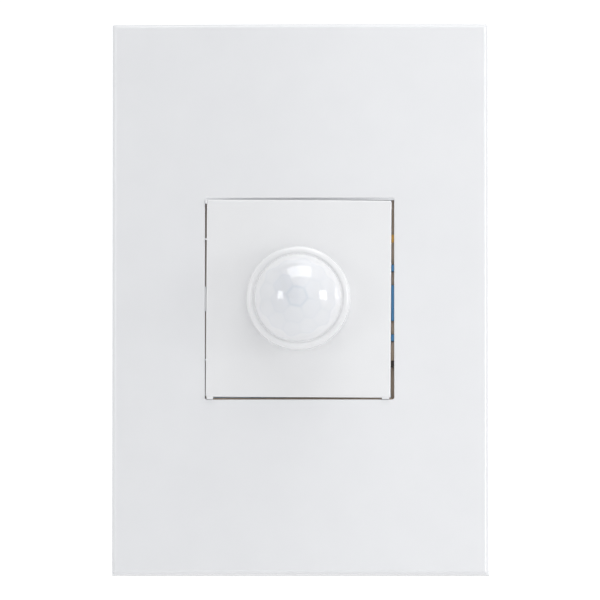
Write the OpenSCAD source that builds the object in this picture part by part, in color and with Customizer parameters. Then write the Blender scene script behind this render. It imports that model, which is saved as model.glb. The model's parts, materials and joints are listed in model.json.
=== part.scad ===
// Motion sensor light switch for a 4 by 2 inch wall box.
// The wall is the plane y = 0, the room is on the -Y side and +Z is up.
// The origin is midway between the two box screws.

/* [Cover plate] */
// Width of the cover plate
plate_w = 82; // [78:1:92]
// Height of the cover plate
plate_h = 120; // [114:1:130]
// Depth of the plate's long edges, from the wall
plate_edge = 6.5; // [6:0.25:9]
// How much further the middle of the face stands out than the long edges
plate_crown = 3.5; // [2.5:0.25:5]
// Wall of the cover plate
plate_wall = 2.2; // [1.6:0.1:2.4]
// How far each side wall leans in towards the face
plate_draft = 0.5; // [0.2:0.1:1]
// Gap between the plate's opening and the sensor bezel, on each side
opening_gap = 0.6; // [0.4:0.05:1]
// Width of the flat seat behind the opening's edge
opening_seat = 2; // [1.2:0.2:3]
// Diameter of the four pegs that hold the plate
peg_d = 4; // [3:0.25:5]
// From the plate's side to the middle of a peg
peg_inset_x = 14; // [12:0.5:16]
// From the plate's end to the middle of a peg
peg_inset_z = 12; // [10:0.5:14]
// Width of the slit that splits a peg
peg_slit = 0.8; // [0.5:0.1:1.2]

/* [Support frame] */
// Gap between the frame and the plate's side walls
frame_gap = 4; // [2:0.5:6]
// Thickness of the frame's base
frame_base = 2.4; // [1.8:0.2:3]
// Corner radius of the frame
frame_corner = 4; // [2:0.5:6]
// Width of the rim round the frame
frame_rim_w = 1.6; // [1.2:0.2:2.4]
// Height of the rim above the base
frame_rim_h = 1.6; // [1:0.2:2]
// Width of the rails round the frame's opening
rail_w = 2.2; // [1.8:0.2:3]
// Gap between the frame's opening and the rear housing
aperture_gap = 0.2; // [0.15:0.05:0.4]
// Play between a peg and its socket, on the radius
socket_play = 0.15; // [0.1:0.05:0.3]
// Wall of a peg socket
socket_wall = 1.6; // [1.2:0.2:2.2]
// Width of the four windows in the frame
window_w = 11; // [7:0.5:11.5]
// Width of the web round a window
window_web = 3; // [2:0.5:4]
// Width of the frame's stiffening ribs
rib_w = 1.4; // [1:0.2:2]

/* [Box screws] */
// Distance between the two box screws
screw_spacing = 83.3; // [82:0.1:85]
// Diameter of a box screw
box_screw_d = 3.5; // [3:0.1:4]
// Diameter of a box screw's plain neck
box_neck_d = 3; // [2.6:0.1:3.1]
// Length of the thread behind the frame
box_screw_l = 15; // [10:1:25]
// Diameter of a box screw's head
box_head_d = 7; // [6:0.25:8]
// Height of a box screw's head
box_head_h = 2.2; // [1.6:0.2:2.6]
// Play between the neck of a box screw and its slot, on each side
slot_play = 0.4; // [0.25:0.05:0.6]
// Length of a screw slot, end to end
slot_l = 8; // [6:0.5:10]
// Width of the pad round a slot
pad_w = 12; // [10:0.5:14]
// Length of the pad round a slot
pad_l = 16; // [13:0.5:18]
// Thickness of the pad
pad_t = 3; // [2.6:0.1:3.6]

/* [Sensor bezel] */
// Width of the bezel's face
bezel_w = 40; // [39:0.1:42]
// Height of the bezel's face
bezel_h = 42.7; // [42:0.1:45]
// How far the bezel stands proud of the plate
bezel_proud = 0.2; // [0:0.1:0.6]
// Thickness of the bezel's face at its middle
bezel_face = 2.4; // [2.2:0.1:3]
// Wall of the bezel's skirt
bezel_wall = 1.5; // [1.2:0.1:2]
// Depth of the skirt behind the face
bezel_skirt = 1; // [0.8:0.1:1.4]
// Height of the collar above the bezel's face
collar_h = 4.75; // [2.5:0.25:6]
// Wall of the collar
collar_wall = 1.05; // [0.8:0.05:1.6]
// Diameter of the posts that carry a board
post_d = 5; // [4.4:0.2:5.4]
// From a board's edge to the middle of a post
post_inset = 2.8; // [2.6:0.1:3.2]
// Width of the bezel's hook, on the left
lug_w = 5.3; // [4:0.1:6.5]
// Width of a snap arm
arm_w = 5; // [4:0.25:6]
// Thickness of a snap arm
arm_t = 1.2; // [1:0.1:1.4]
// Length of a snap arm behind the skirt
arm_l = 7.5; // [6:0.5:9]
// From the middle to a snap arm
arm_x = 8; // [6.5:0.5:8.5]
// How far a snap arm's hook stands out
arm_hook = 0.9; // [0.6:0.1:1.2]

/* [Lens] */
// Diameter of the dome
lens_d = 19.9; // [18:0.1:22]
// Wall of the lens
lens_wall = 0.8; // [0.5:0.1:1.2]
// Gap between the lens and the collar
lens_gap = 0.15; // [0.1:0.05:0.3]
// How far the dome's centre lies below the collar's rim
dome_sink = 2.25; // [0.5:0.25:3]
// How far the lens flange reaches past the dome
lens_flange = 1.5; // [1:0.1:2]
// Thickness of the lens flange
lens_flange_t = 0.8; // [0.6:0.1:1.2]
// Thickness of the retainer ring
retainer_t = 1; // [0.8:0.1:1.6]
// How far the retainer ring reaches past the lens flange
retainer_rim = 0.6; // [0.3:0.1:1]

/* [Latch] */
// How far behind the skirt the hooks start
hook_set = 0.25; // [0.15:0.05:0.5]
// Thickness of the hooks
hook_t = 1.4; // [1.1:0.1:1.8]
// How far the hooks reach over the rails
hook_reach = 0.75; // [0.5:0.05:1]
// Play between the hooks, the rails and the stop flange
latch_play = 0.15; // [0.1:0.05:0.3]
// Width of the latch tongue
tongue_w = 7.7; // [6:0.1:9]
// Width of the slots beside the tongue
tongue_slot = 3; // [2:0.1:3.4]
// Length of the tongue behind the frame
tongue_root = 5; // [4:0.5:8]
// Width of the guide ribs beside the tongue's slots
guide_w = 1.4; // [1:0.1:1.8]
// How far a guide rib runs into its notch in the frame's rail
guide_reach = 0.4; // [0.2:0.05:0.5]
// Play between a guide rib and the frame
guide_play = 0.1; // [0.05:0.05:0.2]
// Height of the latch's middle
latch_z = -0.9; // [-2:0.1:2]
// Thickness of the stop flange behind the frame
flange_t = 2; // [1.4:0.2:2.6]
// How far the stop flange reaches behind the rails
flange_reach = 1.6; // [1:0.1:2]

/* [Rear housing] */
// Wall of the rear housing
housing_wall = 1.6; // [1.2:0.1:1.8]
// How far the housing's sides lie inside the bezel's sides
housing_inset = 0.25; // [0.1:0.05:0.4]
// Corner radius of the rear housing
housing_corner = 1.2; // [0.8:0.1:1.5]
// Width of a vent slot
vent_w = 1.6; // [1.2:0.1:2]
// Length of a vent slot
vent_l = 8; // [5:0.5:10]
// Number of vent slots
vent_n = 7; // [3:1:7]

/* [Boards] */
// Thickness of a circuit board
board_t = 1.6; // [1.2:0.1:2]
// Gap between a board's edge and the housing
board_gap = 0.3; // [0.2:0.05:0.5]
// Diameter of a board screw
board_screw_d = 2; // [1.8:0.1:2.2]
// Diameter of a board screw's head
board_head_d = 3.6; // [3.2:0.1:3.8]
// Height of a board screw's head
board_head_h = 1.3; // [1:0.1:1.6]
// Play of a screw or lead in its hole, on the radius
hole_play = 0.1; // [0.05:0.05:0.15]
// Number of link pins between the boards
link_n = 6; // [4:1:6]
// Pitch of the link pins
link_pitch = 2.54; // [2:0.02:2.54]
// Side of a link pin
link_pin = 0.64; // [0.5:0.02:0.7]
// Side of a link header
header_w = 2.5; // [2.2:0.1:2.8]

/* [Detector] */
// Diameter of the detector's can
can_d = 8.3; // [7.5:0.1:9]
// Height of the can
can_h = 4; // [3:0.1:5]
// Wall of the can
can_wall = 0.35; // [0.25:0.05:0.5]
// Width of the can's rectangular aperture
can_slot_w = 4; // [3:0.1:4.4]
// Height of the can's rectangular aperture
can_slot_h = 3; // [2.4:0.1:3.6]
// Diameter of the detector's base
can_base_d = 9.2; // [9:0.1:10]
// Thickness of the detector's base
can_base_t = 0.6; // [0.4:0.1:1]
// Thickness of the detector's window
can_window_t = 0.5; // [0.3:0.1:0.8]
// Diameter of the light cell
cell_d = 3; // [2:0.1:3.4]
// Height of the light cell
cell_h = 3.6; // [2.5:0.1:4.5]

/* [Adjusters] */
// Diameter of an adjusting wheel
wheel_d = 10; // [9:0.25:11]
// Thickness of an adjusting wheel
wheel_t = 1.5; // [1.2:0.1:1.7]
// How far a wheel stands out of the housing's side
wheel_reach = 1.3; // [1:0.1:1.5]
// Gap between a wheel and the board screw beside it
wheel_gap = 0.5; // [0.3:0.05:0.8]
// Number of notches round a wheel
wheel_notches = 24; // [16:1:30]
// Diameter of a wheel's stub shaft
wheel_shaft_d = 2; // [1.6:0.1:2.4]
// Length of a wheel's stub shaft
wheel_shaft_l = 2.4; // [1.8:0.1:2.8]
// Running play of a wheel
wheel_play = 0.05; // [0.03:0.01:0.1]
// Thickness of an adjuster's body
pot_t = 3.6; // [3.2:0.1:3.8]

/* [Relay] */
// Length of the relay
relay_l = 19; // [18:0.25:19.5]
// Width of the relay
relay_w = 15.4; // [14.5:0.1:15.8]
// Height of the relay
relay_h = 15.3; // [15:0.1:17]
// Wall of the relay's case
relay_wall = 0.7; // [0.5:0.1:0.9]
// Thickness of the yoke and the armature
yoke_t = 1.2; // [1:0.1:1.4]
// Diameter of the coil's core
core_d = 4; // [3.4:0.1:4.6]
// Outer diameter of the winding
winding_d = 9.4; // [8:0.1:9.8]
// Height of the winding
winding_h = 6; // [5:0.1:6.2]
// Open gap between the armature and the core
relay_stroke = 0.6; // [0.4:0.05:0.8]

/* [Power parts] */
// Length of the dropper capacitor
dropper_l = 15; // [13:0.5:15]
// Width of the dropper capacitor
dropper_w = 7; // [5:0.25:7.5]
// Height of the dropper capacitor
dropper_h = 13; // [10:0.5:14]
// Diameter of the smoothing capacitor
smoother_d = 8; // [6:0.25:8.5]
// Height of the smoothing capacitor
smoother_h = 12; // [9:0.5:14]
// Diameter of the varistor
varistor_d = 9; // [7:0.25:10]
// Thickness of the varistor
varistor_t = 3.6; // [3:0.2:4.2]
// Diameter of the fuse
fuse_d = 7.6; // [6:0.2:8]
// Height of the fuse
fuse_h = 8; // [6:0.5:9]
// Width of the bridge rectifier
bridge_w = 6.4; // [5.6:0.2:6.6]
// Length of the bridge rectifier
bridge_l = 8.2; // [7:0.2:8.6]
// Height of the bridge rectifier
bridge_h = 3.2; // [2.4:0.1:4]
// Diameter of the driver transistor
driver_d = 4.6; // [4:0.1:5]
// Height of the driver transistor
driver_h = 4.8; // [4:0.1:5.4]

/* [Terminals] */
// Pitch of the wire terminals
pole_pitch = 7.5; // [7.2:0.1:7.8]
// Gap between neighbouring terminals
pole_gap = 0.1; // [0.05:0.05:0.3]
// Depth of a terminal, from its wire face
pole_d = 11; // [10.8:0.1:12]
// Diameter of a wire entry
wire_d = 3.4; // [2.8:0.1:3.8]
// Length of a wire entry
wire_l = 2.8; // [2:0.1:3.2]
// Width of a clamping cage
cage_w = 5.4; // [4.8:0.1:5.6]
// Length of a clamping cage
cage_l = 5; // [4.4:0.1:5.2]
// Wall of a clamping cage
cage_wall = 0.8; // [0.6:0.05:1]
// Thickness of the threaded side of a cage
cage_thread = 1.2; // [1:0.1:1.6]
// How far a cage rises
cage_travel = 2; // [1.5:0.1:2.4]
// Width of a contact bar
bar_w = 3; // [2.4:0.1:3.2]
// Thickness of a contact bar
bar_t = 1.2; // [0.8:0.1:1.4]
// Diameter of a terminal screw
clamp_screw_d = 3; // [2.6:0.1:3.2]
// Diameter of a terminal screw's head
clamp_head_d = 4; // [3.8:0.1:4.6]
// Height of a terminal screw's head
clamp_head_h = 1.4; // [1.1:0.1:1.8]
// Play of a cage, a screw or a bar in a terminal
clamp_play = 0.15; // [0.1:0.05:0.2]
// Diameter of a screwdriver hole in the rear housing
driver_hole_d = 3.6; // [3.2:0.1:3.8]

/* [Hidden] */
$fn = 64;
eps = 0.5;

// Depths, from the room to the back of the wall box
plate_front = -(plate_edge + plate_crown);
crown_r = (pow(plate_w / 2, 2) + pow(plate_crown, 2)) / (2 * plate_crown);
crown_y = plate_front + crown_r;
crown_fn = 720;
bezel_front = plate_front - bezel_proud;
bezel_back = bezel_front + bezel_face;
skirt_y = bezel_back + bezel_skirt;
hook_front = skirt_y + hook_set;
hook_back = hook_front + hook_t;
rail_front = hook_back + latch_play;
seat_y = hook_front - latch_play;
flange_front = latch_play;
flange_back = flange_front + flange_t;
collar_top = bezel_front - collar_h;
dome_y = collar_top + dome_sink;
lens_back = bezel_back + lens_flange_t;
sensor_front = lens_back + retainer_t;
sensor_back = sensor_front + board_t;
relay_room = 2.1;
power_front = sensor_back + relay_room + relay_h;
power_back = power_front + board_t;

// Sizes across
opening_w = bezel_w + 2 * opening_gap;
opening_h = bezel_h + 2 * opening_gap;
peg_x = plate_w / 2 - peg_inset_x;
peg_z = plate_h / 2 - peg_inset_z;
frame_w = plate_w - 2 * (plate_wall + plate_draft + frame_gap);
frame_h = plate_h - 2 * (plate_wall + plate_draft + frame_gap);
housing_w = bezel_w - 2 * housing_inset;
housing_h = bezel_h - 2 * housing_inset;
aperture_w = housing_w + 2 * aperture_gap;
aperture_h = housing_h + 2 * aperture_gap;
inner_w = housing_w - 2 * housing_wall;
inner_h = housing_h - 2 * housing_wall;
board_w = inner_w - 2 * board_gap;
board_h = inner_h - 2 * board_gap;
post_x = board_w / 2 - post_inset;
post_z = board_h / 2 - post_inset;
hook_x = aperture_w / 2 + hook_reach;
guide_x = aperture_w / 2 + guide_reach;
guide_in = tongue_w / 2 + tongue_slot;
guide_out = guide_in + guide_w;
lens_hole_d = lens_d + 2 * lens_gap;
collar_d = lens_hole_d + 2 * collar_wall;
flange_d = lens_d + 2 * lens_flange;
arm_z = inner_h / 2 - clamp_play;
wheel_x = housing_w / 2 + wheel_reach - wheel_d / 2;
wheel_y = sensor_back + latch_play + wheel_d / 2;
wheel_z = post_z - board_head_d / 2 - wheel_gap - wheel_t / 2;
pot_top = wheel_z - wheel_t / 2 - clamp_play;
link_edge = 1;
link_x = -(board_w / 2 - header_w / 2 - link_edge);
slot_w = box_screw_d + 2 * slot_play;
lead_d = 0.5;
lead_circle = 2.6;
bezel_root = bezel_face / 4;
pilot_front = bezel_back - bezel_face / 3;
arm_end = skirt_y + arm_l;
peg_stop = 0.6;

// Gaps that spread the power parts evenly over their board
row_left = -post_x + board_head_d / 2;
row_gap = (board_w / 2 - row_left - relay_l - smoother_d) / 3;
column_top = arm_z - arm_t;
column_gap = (column_top + board_h / 2 - relay_w - dropper_w - varistor_t - driver_d) / 5;

// Relay, measured from its own foot
relay_x = row_left + row_gap + relay_l / 2;
relay_z = column_top - column_gap - relay_w / 2;
relay_floor = 1.6;
bobbin_t = 0.8;
bobbin_wall = 0.6;
core_foot = relay_floor + yoke_t;
core_top = core_foot + 2 * bobbin_t + winding_h + yoke_t;
armature_foot = core_top + relay_stroke;
hinge_gap = 0.1;
leaf_t = 0.3;
rivet_d = 2.4;
rivet_h = 0.8;
pole_face_d = 7;
yoke_w = 8.4;
yoke_out = winding_d / 2 + bobbin_t + clamp_play;
hinge_x = -(yoke_out + yoke_t / 2);
contact_x = relay_l / 2 - relay_wall - rivet_d / 2 - bobbin_t;
relay_swing = atan((relay_stroke - hinge_gap / 2) / (pole_face_d / 2 - hinge_x));
contact_top = armature_foot + yoke_t - rivet_h - (contact_x - hinge_x) * tan(relay_swing) - hinge_gap / 2;

// Terminals, measured from the back of the power board
pole_floor = 0.8;
cage_low = power_back + pole_floor;
wire_y = cage_low + cage_wall + wire_d / 2;
bar_y = cage_low + cage_wall + wire_d;
bar_room = 1.2;
cage_high = bar_y + bar_t + bar_room + cage_thread;
head_y = cage_high + cage_travel + clamp_play;
head_sink = 0.3;
pole_back = head_y + clamp_head_h + head_sink;
pole_face_z = -(housing_h / 2 - clamp_play);
clamp_z = pole_face_z + wire_l + clamp_play + cage_l / 2;
leg_web = 0.6;
leg_z = clamp_z + cage_l / 2 + 2 * clamp_play + leg_web;
leg_t = 1;
housing_floor = pole_back + latch_play;
housing_back = housing_floor + housing_wall;

// Places on the power board
dropper_x = relay_x + relay_l / 2 - dropper_l / 2;
dropper_z = relay_z - relay_w / 2 - column_gap - dropper_w / 2;
smoother_x = relay_x + relay_l / 2 + row_gap + smoother_d / 2;
smoother_z = pot_top - pot_t - column_gap - smoother_d / 2;
lower_row = dropper_z - dropper_w / 2 - column_gap;
fuse_x = relay_x - relay_l / 2 + fuse_d / 2;
fuse_z = lower_row - fuse_d / 2;
varistor_x = fuse_x + fuse_d / 2 + row_gap + varistor_d / 2;
varistor_z = lower_row - varistor_t / 2;
bridge_x = smoother_x;
bridge_z = smoother_z - smoother_d / 2 - column_gap - bridge_l / 2;
driver_x = varistor_x;
driver_z = varistor_z - varistor_t / 2 - column_gap - driver_d / 2;

WHITE = [0.93, 0.93, 0.94];
TAUPE = [0.45, 0.39, 0.33];
BLUE = [0.14, 0.36, 0.56];
STEEL = [0.72, 0.73, 0.75];
BRASS = [0.78, 0.64, 0.32];
GREEN = [0.10, 0.38, 0.22];
BLACK = [0.12, 0.12, 0.13];

// Extrudes an outline drawn as seen from the room, from depth y0 back to y1
module slab(y0, y1) {
    translate([0, y1, 0]) rotate([90, 0, 0]) linear_extrude(y1 - y0) children();
}

// Round bar along Y
module rod_y(d, y0, y1, x = 0, z = 0) {
    translate([x, y1, z]) rotate([90, 0, 0]) cylinder(d = d, h = y1 - y0);
}

// Round bar along Z
module rod_z(d, z0, z1, x = 0, y = 0) {
    translate([x, y, z0]) cylinder(d = d, h = z1 - z0);
}

// Rectangle with round corners
module round_rect(w, h, r) {
    square([w - 2 * r, h], center = true);
    square([w, h - 2 * r], center = true);
    for (sx = [-1, 1], sz = [-1, 1])
        translate([sx * (w / 2 - r), sz * (h / 2 - r)]) circle(r = r);
}

// Slot with round ends that runs along Z
module long_slot(w, l) {
    square([w, l - w], center = true);
    for (s = [-1, 1]) translate([0, s * (l - w) / 2]) circle(d = w);
}

// Box between two corners
module span(low, high) {
    translate(low) cube(high - low);
}

// Everything behind the crowned face, set back by depth
module behind_crown(depth) {
    translate([0, crown_y, 0])
        cylinder(r = crown_r - depth, h = 2 * plate_h, center = true, $fn = crown_fn);
}

// Block with leaning sides, from the wall to the room
module leaning_block(w, h, depth, lean) {
    intersection() {
        linear_extrude(2 * h, center = true)
            polygon([[-w / 2, 0], [w / 2, 0], [w / 2 - lean, -depth], [lean - w / 2, -depth]]);
        rotate([90, 0, 90]) linear_extrude(2 * w, center = true)
            polygon([[0, -h / 2], [0, h / 2], [-depth, h / 2 - lean], [-depth, lean - h / 2]]);
    }
}

module at_pegs() {
    for (sx = [-1, 1], sz = [-1, 1]) translate([sx * peg_x, 0, sz * peg_z]) children();
}

module at_posts() {
    for (sx = [-1, 1], sz = [-1, 1]) translate([sx * post_x, 0, sz * post_z]) children();
}

module at_arms() {
    for (sx = [-1, 1], sz = [0, 1]) mirror([0, 0, sz]) translate([sx * arm_x, 0, 0]) children();
}

module at_wheels() {
    for (s = [0, 1]) mirror([0, 0, s]) children();
}

module at_box_screws() {
    for (s = [-1, 1]) translate([0, 0, s * screw_spacing / 2]) children();
}

module at_poles() {
    for (i = [-1, 0, 1]) translate([i * pole_pitch, 0, 0]) children();
}

// Crowned shell with a square opening, held by four split pegs
module cover_plate() {
    depth = plate_edge + plate_crown;
    cavity_w = plate_w - 2 * (plate_wall + plate_draft);
    cavity_h = plate_h - 2 * (plate_wall + plate_draft);
    peg_front = crown_y - sqrt(pow(crown_r, 2) - pow(peg_x, 2)) + plate_wall / 2;
    peg_back = -peg_stop;
    color(WHITE) difference() {
        union() {
            difference() {
                intersection() {
                    leaning_block(plate_w, plate_h, depth, plate_draft);
                    behind_crown(0);
                }
                intersection() {
                    span([-cavity_w / 2, -depth, -cavity_h / 2], [cavity_w / 2, eps, cavity_h / 2]);
                    behind_crown(plate_wall);
                }
            }
            intersection() {
                slab(-depth, seat_y)
                    square([opening_w + 2 * opening_seat, opening_h + 2 * opening_seat], center = true);
                behind_crown(plate_wall / 2);
            }
            at_pegs() rod_y(peg_d, peg_front, peg_back);
        }
        slab(-depth - eps, eps) square([opening_w, opening_h], center = true);
        at_pegs() span([-peg_d, peg_back - peg_d, -peg_slit / 2], [peg_d, peg_back + eps, peg_slit / 2]);
    }
}

// Chassis screwed to the wall box: base, rim, rails, pads and peg sockets
module support_frame() {
    socket_d = peg_d + 2 * socket_play;
    window_low = aperture_h / 2 + rail_w + window_web;
    window_high = frame_h / 2 - frame_rim_w - window_web;
    window_x = pad_w / 2 + window_web + window_w / 2;
    rim_front = -(frame_base + frame_rim_h);
    side_rib_z = wheel_z + wheel_t / 2 + 2 * rib_w;
    color(TAUPE) difference() {
        union() {
            slab(-frame_base, 0) round_rect(frame_w, frame_h, frame_corner);
            slab(rim_front, 0) difference() {
                round_rect(frame_w, frame_h, frame_corner);
                round_rect(frame_w - 2 * frame_rim_w, frame_h - 2 * frame_rim_w,
                           frame_corner - frame_rim_w / 2);
            }
            slab(rail_front, 0) square([aperture_w + 2 * rail_w, aperture_h + 2 * rail_w], center = true);
            at_pegs() rod_y(socket_d + 2 * socket_wall, rail_front, 0);
            at_box_screws() slab(-pad_t, 0) round_rect(pad_w, pad_l, box_head_d / 2);
            for (s = [-1, 1]) {
                slab(rim_front, 0) translate([0, s * side_rib_z])
                    square([frame_w - frame_rim_w, rib_w], center = true);
                slab(rim_front, 0) translate([s * (aperture_w + rail_w) / 2, 0])
                    square([rib_w, frame_h - frame_rim_w], center = true);
            }
        }
        slab(rail_front - eps, eps) square([aperture_w, aperture_h], center = true);
        at_pegs() rod_y(socket_d, rail_front - eps, eps);
        at_box_screws() slab(-pad_t - eps, eps) long_slot(slot_w, slot_l);
        for (sx = [-1, 1], sz = [-1, 1])
            slab(rim_front - eps, eps)
                translate([sx * window_x, sz * (window_low + window_high) / 2])
                    round_rect(window_w, window_high - window_low, rib_w);
        at_wheels() span(
            [0, rail_front - eps, wheel_z - wheel_t / 2 - board_gap],
            [wheel_x + wheel_d / 2 + board_gap, eps, wheel_z + wheel_t / 2 + board_gap]);
        translate([0, 0, latch_z]) for (sz = [0, 1]) mirror([0, 0, sz])
            span([0, rail_front - eps, guide_in - guide_play],
                 [guide_x + guide_play, eps, guide_out + guide_play]);
    }
}

// Two pan head screws, with a plain neck in the frame and a thread behind it
module box_screws() {
    slit = box_head_h / 2;
    color(STEEL) at_box_screws() difference() {
        union() {
            rod_y(box_head_d, -pad_t - box_head_h, -pad_t);
            rod_y(box_neck_d, -pad_t - box_head_h / 2, eps);
            rod_y(box_screw_d, 0, box_screw_l);
        }
        span([-box_head_d, -pad_t - box_head_h - eps, -slit / 2],
             [box_head_d, -pad_t - box_head_h + slit, slit / 2]);
    }
}

// Square face with a round collar, board posts, snap arms and a hook on its left
module sensor_bezel() {
    cavity_w = bezel_w - 2 * bezel_wall;
    cavity_h = bezel_h - 2 * bezel_wall;
    pilot_d = board_screw_d + 2 * hole_play;
    color(WHITE) difference() {
        union() {
            difference() {
                intersection() {
                    slab(bezel_front - eps, skirt_y) square([bezel_w, bezel_h], center = true);
                    behind_crown(-bezel_proud);
                }
                slab(bezel_back, skirt_y + eps) square([cavity_w, cavity_h], center = true);
            }
            rotate([90, 0, 0]) rotate_extrude() {
                translate([0, -bezel_back]) square([collar_d / 2, collar_h + bezel_face - collar_wall / 2]);
                translate([collar_d / 2 - collar_wall / 2, -collar_top - collar_wall / 2])
                    circle(d = collar_wall);
            }
            at_posts() rod_y(post_d, bezel_back - bezel_root, sensor_front);
            at_arms() {
                span([-arm_w / 2, bezel_back - bezel_root, arm_z - arm_t], [arm_w / 2, arm_end, arm_z]);
                span([-arm_w / 2, arm_end - hook_t, arm_z - arm_t], [arm_w / 2, arm_end, arm_z + arm_hook]);
            }
            span([-bezel_w / 2, bezel_back - bezel_root, -lug_w / 2],
                 [-cavity_w / 2, hook_back, lug_w / 2]);
            span([-hook_x, hook_front, -lug_w / 2], [-cavity_w / 2, hook_back, lug_w / 2]);
        }
        rod_y(lens_hole_d, collar_top - eps, skirt_y);
        at_posts() rod_y(pilot_d, pilot_front, sensor_front + eps);
    }
}

// Half of the lens wall, turned about the dome's axis
module dome_lens() {
    skirt = lens_back - dome_y;
    bore_d = lens_d - 2 * lens_wall;
    color([0.90, 0.92, 0.94]) translate([0, dome_y, 0]) rotate([90, 0, 0]) rotate_extrude($fn = 96)
        difference() {
            union() {
                intersection() {
                    circle(d = lens_d, $fn = 96);
                    square(lens_d / 2);
                }
                translate([0, -skirt]) square([lens_d / 2, skirt]);
                translate([0, -skirt]) square([flange_d / 2, lens_flange_t]);
            }
            intersection() {
                circle(d = bore_d, $fn = 96);
                square(lens_d / 2);
            }
            translate([0, -skirt - eps]) square([bore_d / 2, skirt + eps]);
        }
}

// Ring between the lens flange and the sensor board
module lens_retainer() {
    color(WHITE) difference() {
        rod_y(flange_d + 2 * retainer_rim, lens_back, sensor_front);
        rod_y(lens_d - 2 * lens_wall, lens_back - eps, sensor_front + eps);
    }
}

module screw_holes(y0, y1) {
    at_posts() rod_y(board_screw_d + 2 * hole_play, y0 - eps, y1 + eps);
}

module link_holes(y0, y1) {
    at_links() rod_y(link_pin * sqrt(2) + 2 * hole_play, y0 - eps, y1 + eps);
}

module at_links() {
    for (i = [0:link_n - 1])
        translate([link_x, 0, (i - (link_n - 1) / 2) * link_pitch]) children();
}

// Front board: detector and light cell in front, chip and adjusters behind
module sensor_board() {
    notch_z = arm_z - arm_t - board_gap;
    notch_w = arm_w + 2 * board_gap;
    color(GREEN) difference() {
        slab(sensor_front, sensor_back) square([board_w, board_h], center = true);
        screw_holes(sensor_front, sensor_back);
        link_holes(sensor_front, sensor_back);
        at_arms() span([-notch_w / 2, sensor_front - eps, notch_z],
                       [notch_w / 2, sensor_back + eps, board_h]);
        at_leads() rod_y(lead_d + 2 * hole_play, sensor_front - eps, sensor_back + eps);
        span([board_w / 2 - hook_reach, sensor_front - eps, latch_z - tongue_w / 2],
             [board_w, sensor_back + eps, latch_z + tongue_w / 2]);
        span([-board_w, sensor_front - eps, -lug_w / 2 - board_gap],
             [-bezel_w / 2 + bezel_wall + board_gap, sensor_back + eps, lug_w / 2 + board_gap]);
    }
}

// Pan head screws that pass through a board into its posts
module board_screw(head_y0, head_y1, tip_y0, tip_y1) {
    rod_y(board_head_d, head_y0, head_y1);
    rod_y(board_screw_d, tip_y0, tip_y1);
}

module sensor_board_screws() {
    color(STEEL) at_posts()
        board_screw(sensor_back, sensor_back + board_head_h,
                    pilot_front + latch_play, sensor_back + board_head_h / 2);
}

module at_leads() {
    for (a = [-45, 45, 135]) rotate([0, a, 0]) translate([lead_circle, 0, 0]) children();
}

// Metal base of the detector, with three leads
module detector_base() {
    color(STEEL) {
        rod_y(can_base_d, sensor_front - can_base_t, sensor_front);
        at_leads() rod_y(lead_d, sensor_front - can_base_t / 2, sensor_back + lead_d * 2);
    }
}

// Thin metal can with a rectangular aperture
module detector_can() {
    low = sensor_front - can_base_t;
    color(STEEL) difference() {
        rod_y(can_d, low - can_h, low);
        rod_y(can_d - 2 * can_wall, low - can_h + can_wall, low + eps);
        slab(low - can_h - eps, low) square([can_slot_w, can_slot_h], center = true);
    }
}

// Dark filter behind the can's aperture
module detector_window() {
    top = sensor_front - can_base_t - can_h + can_wall;
    color(BLACK) slab(top, top + can_window_t)
        square([can_slot_w + 2 * can_wall, can_slot_h + 2 * can_wall], center = true);
}

// Round clear cell that measures the daylight through the lens
module light_cell() {
    cell_r = (can_base_d / 2 + lens_d / 2 - lens_wall) / 2;
    color([0.75, 0.85, 0.90]) translate([0, 0, -cell_r]) {
        rod_y(cell_d, sensor_front - cell_h + cell_d / 2, sensor_front);
        translate([0, sensor_front - cell_h + cell_d / 2, 0]) sphere(d = cell_d);
    }
}

// Chip on the back of the sensor board, with its legs
module control_chip() {
    chip_l = 9.9;
    chip_w = 3.9;
    chip_t = 1.5;
    leg_w = 0.45;
    leg_h = 0.7;
    leg_reach = 1;
    leg_pitch = 1.27;
    legs = 8;
    chip_z = -pot_top / 2 - chip_w / 2;
    color(BLACK) translate([0, sensor_back, chip_z]) {
        span([-chip_l / 2, 0, -chip_w / 2], [chip_l / 2, chip_t, chip_w / 2]);
        for (i = [0:legs - 1])
            translate([(i - (legs - 1) / 2) * leg_pitch, 0, 0])
                span([-leg_w / 2, 0, -chip_w / 2 - leg_reach], [leg_w / 2, leg_h, chip_w / 2 + leg_reach]);
    }
}

// Small surface parts in two rows
module board_passives() {
    chip_l = 2;
    chip_t = 0.7;
    chip_w = 1.25;
    pitch = 3.4;
    per_row = 5;
    color([0.55, 0.47, 0.38])
        for (row = [0, 1], i = [0:per_row - 1])
            translate([(i - (per_row - 1) / 2) * pitch, sensor_back, pot_top / 2 + row * pitch])
                span([-chip_l / 2, 0, 0], [chip_l / 2, chip_t, chip_w]);
}

// Body that carries a wheel's stub shaft, on the back of the sensor board
module adjuster() {
    side = wheel_shaft_d * 2;
    depth = wheel_d - latch_play;
    bore_d = wheel_shaft_d + 2 * wheel_play;
    color(BLACK) difference() {
        span([wheel_x - side, sensor_back, pot_top - pot_t], [board_w / 2, sensor_back + depth, pot_top]);
        rod_z(bore_d, pot_top - wheel_shaft_l - clamp_play, pot_top + eps, wheel_x, wheel_y);
    }
}

module time_adjuster() {
    adjuster();
}

module light_adjuster() {
    mirror([0, 0, 1]) adjuster();
}

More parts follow.
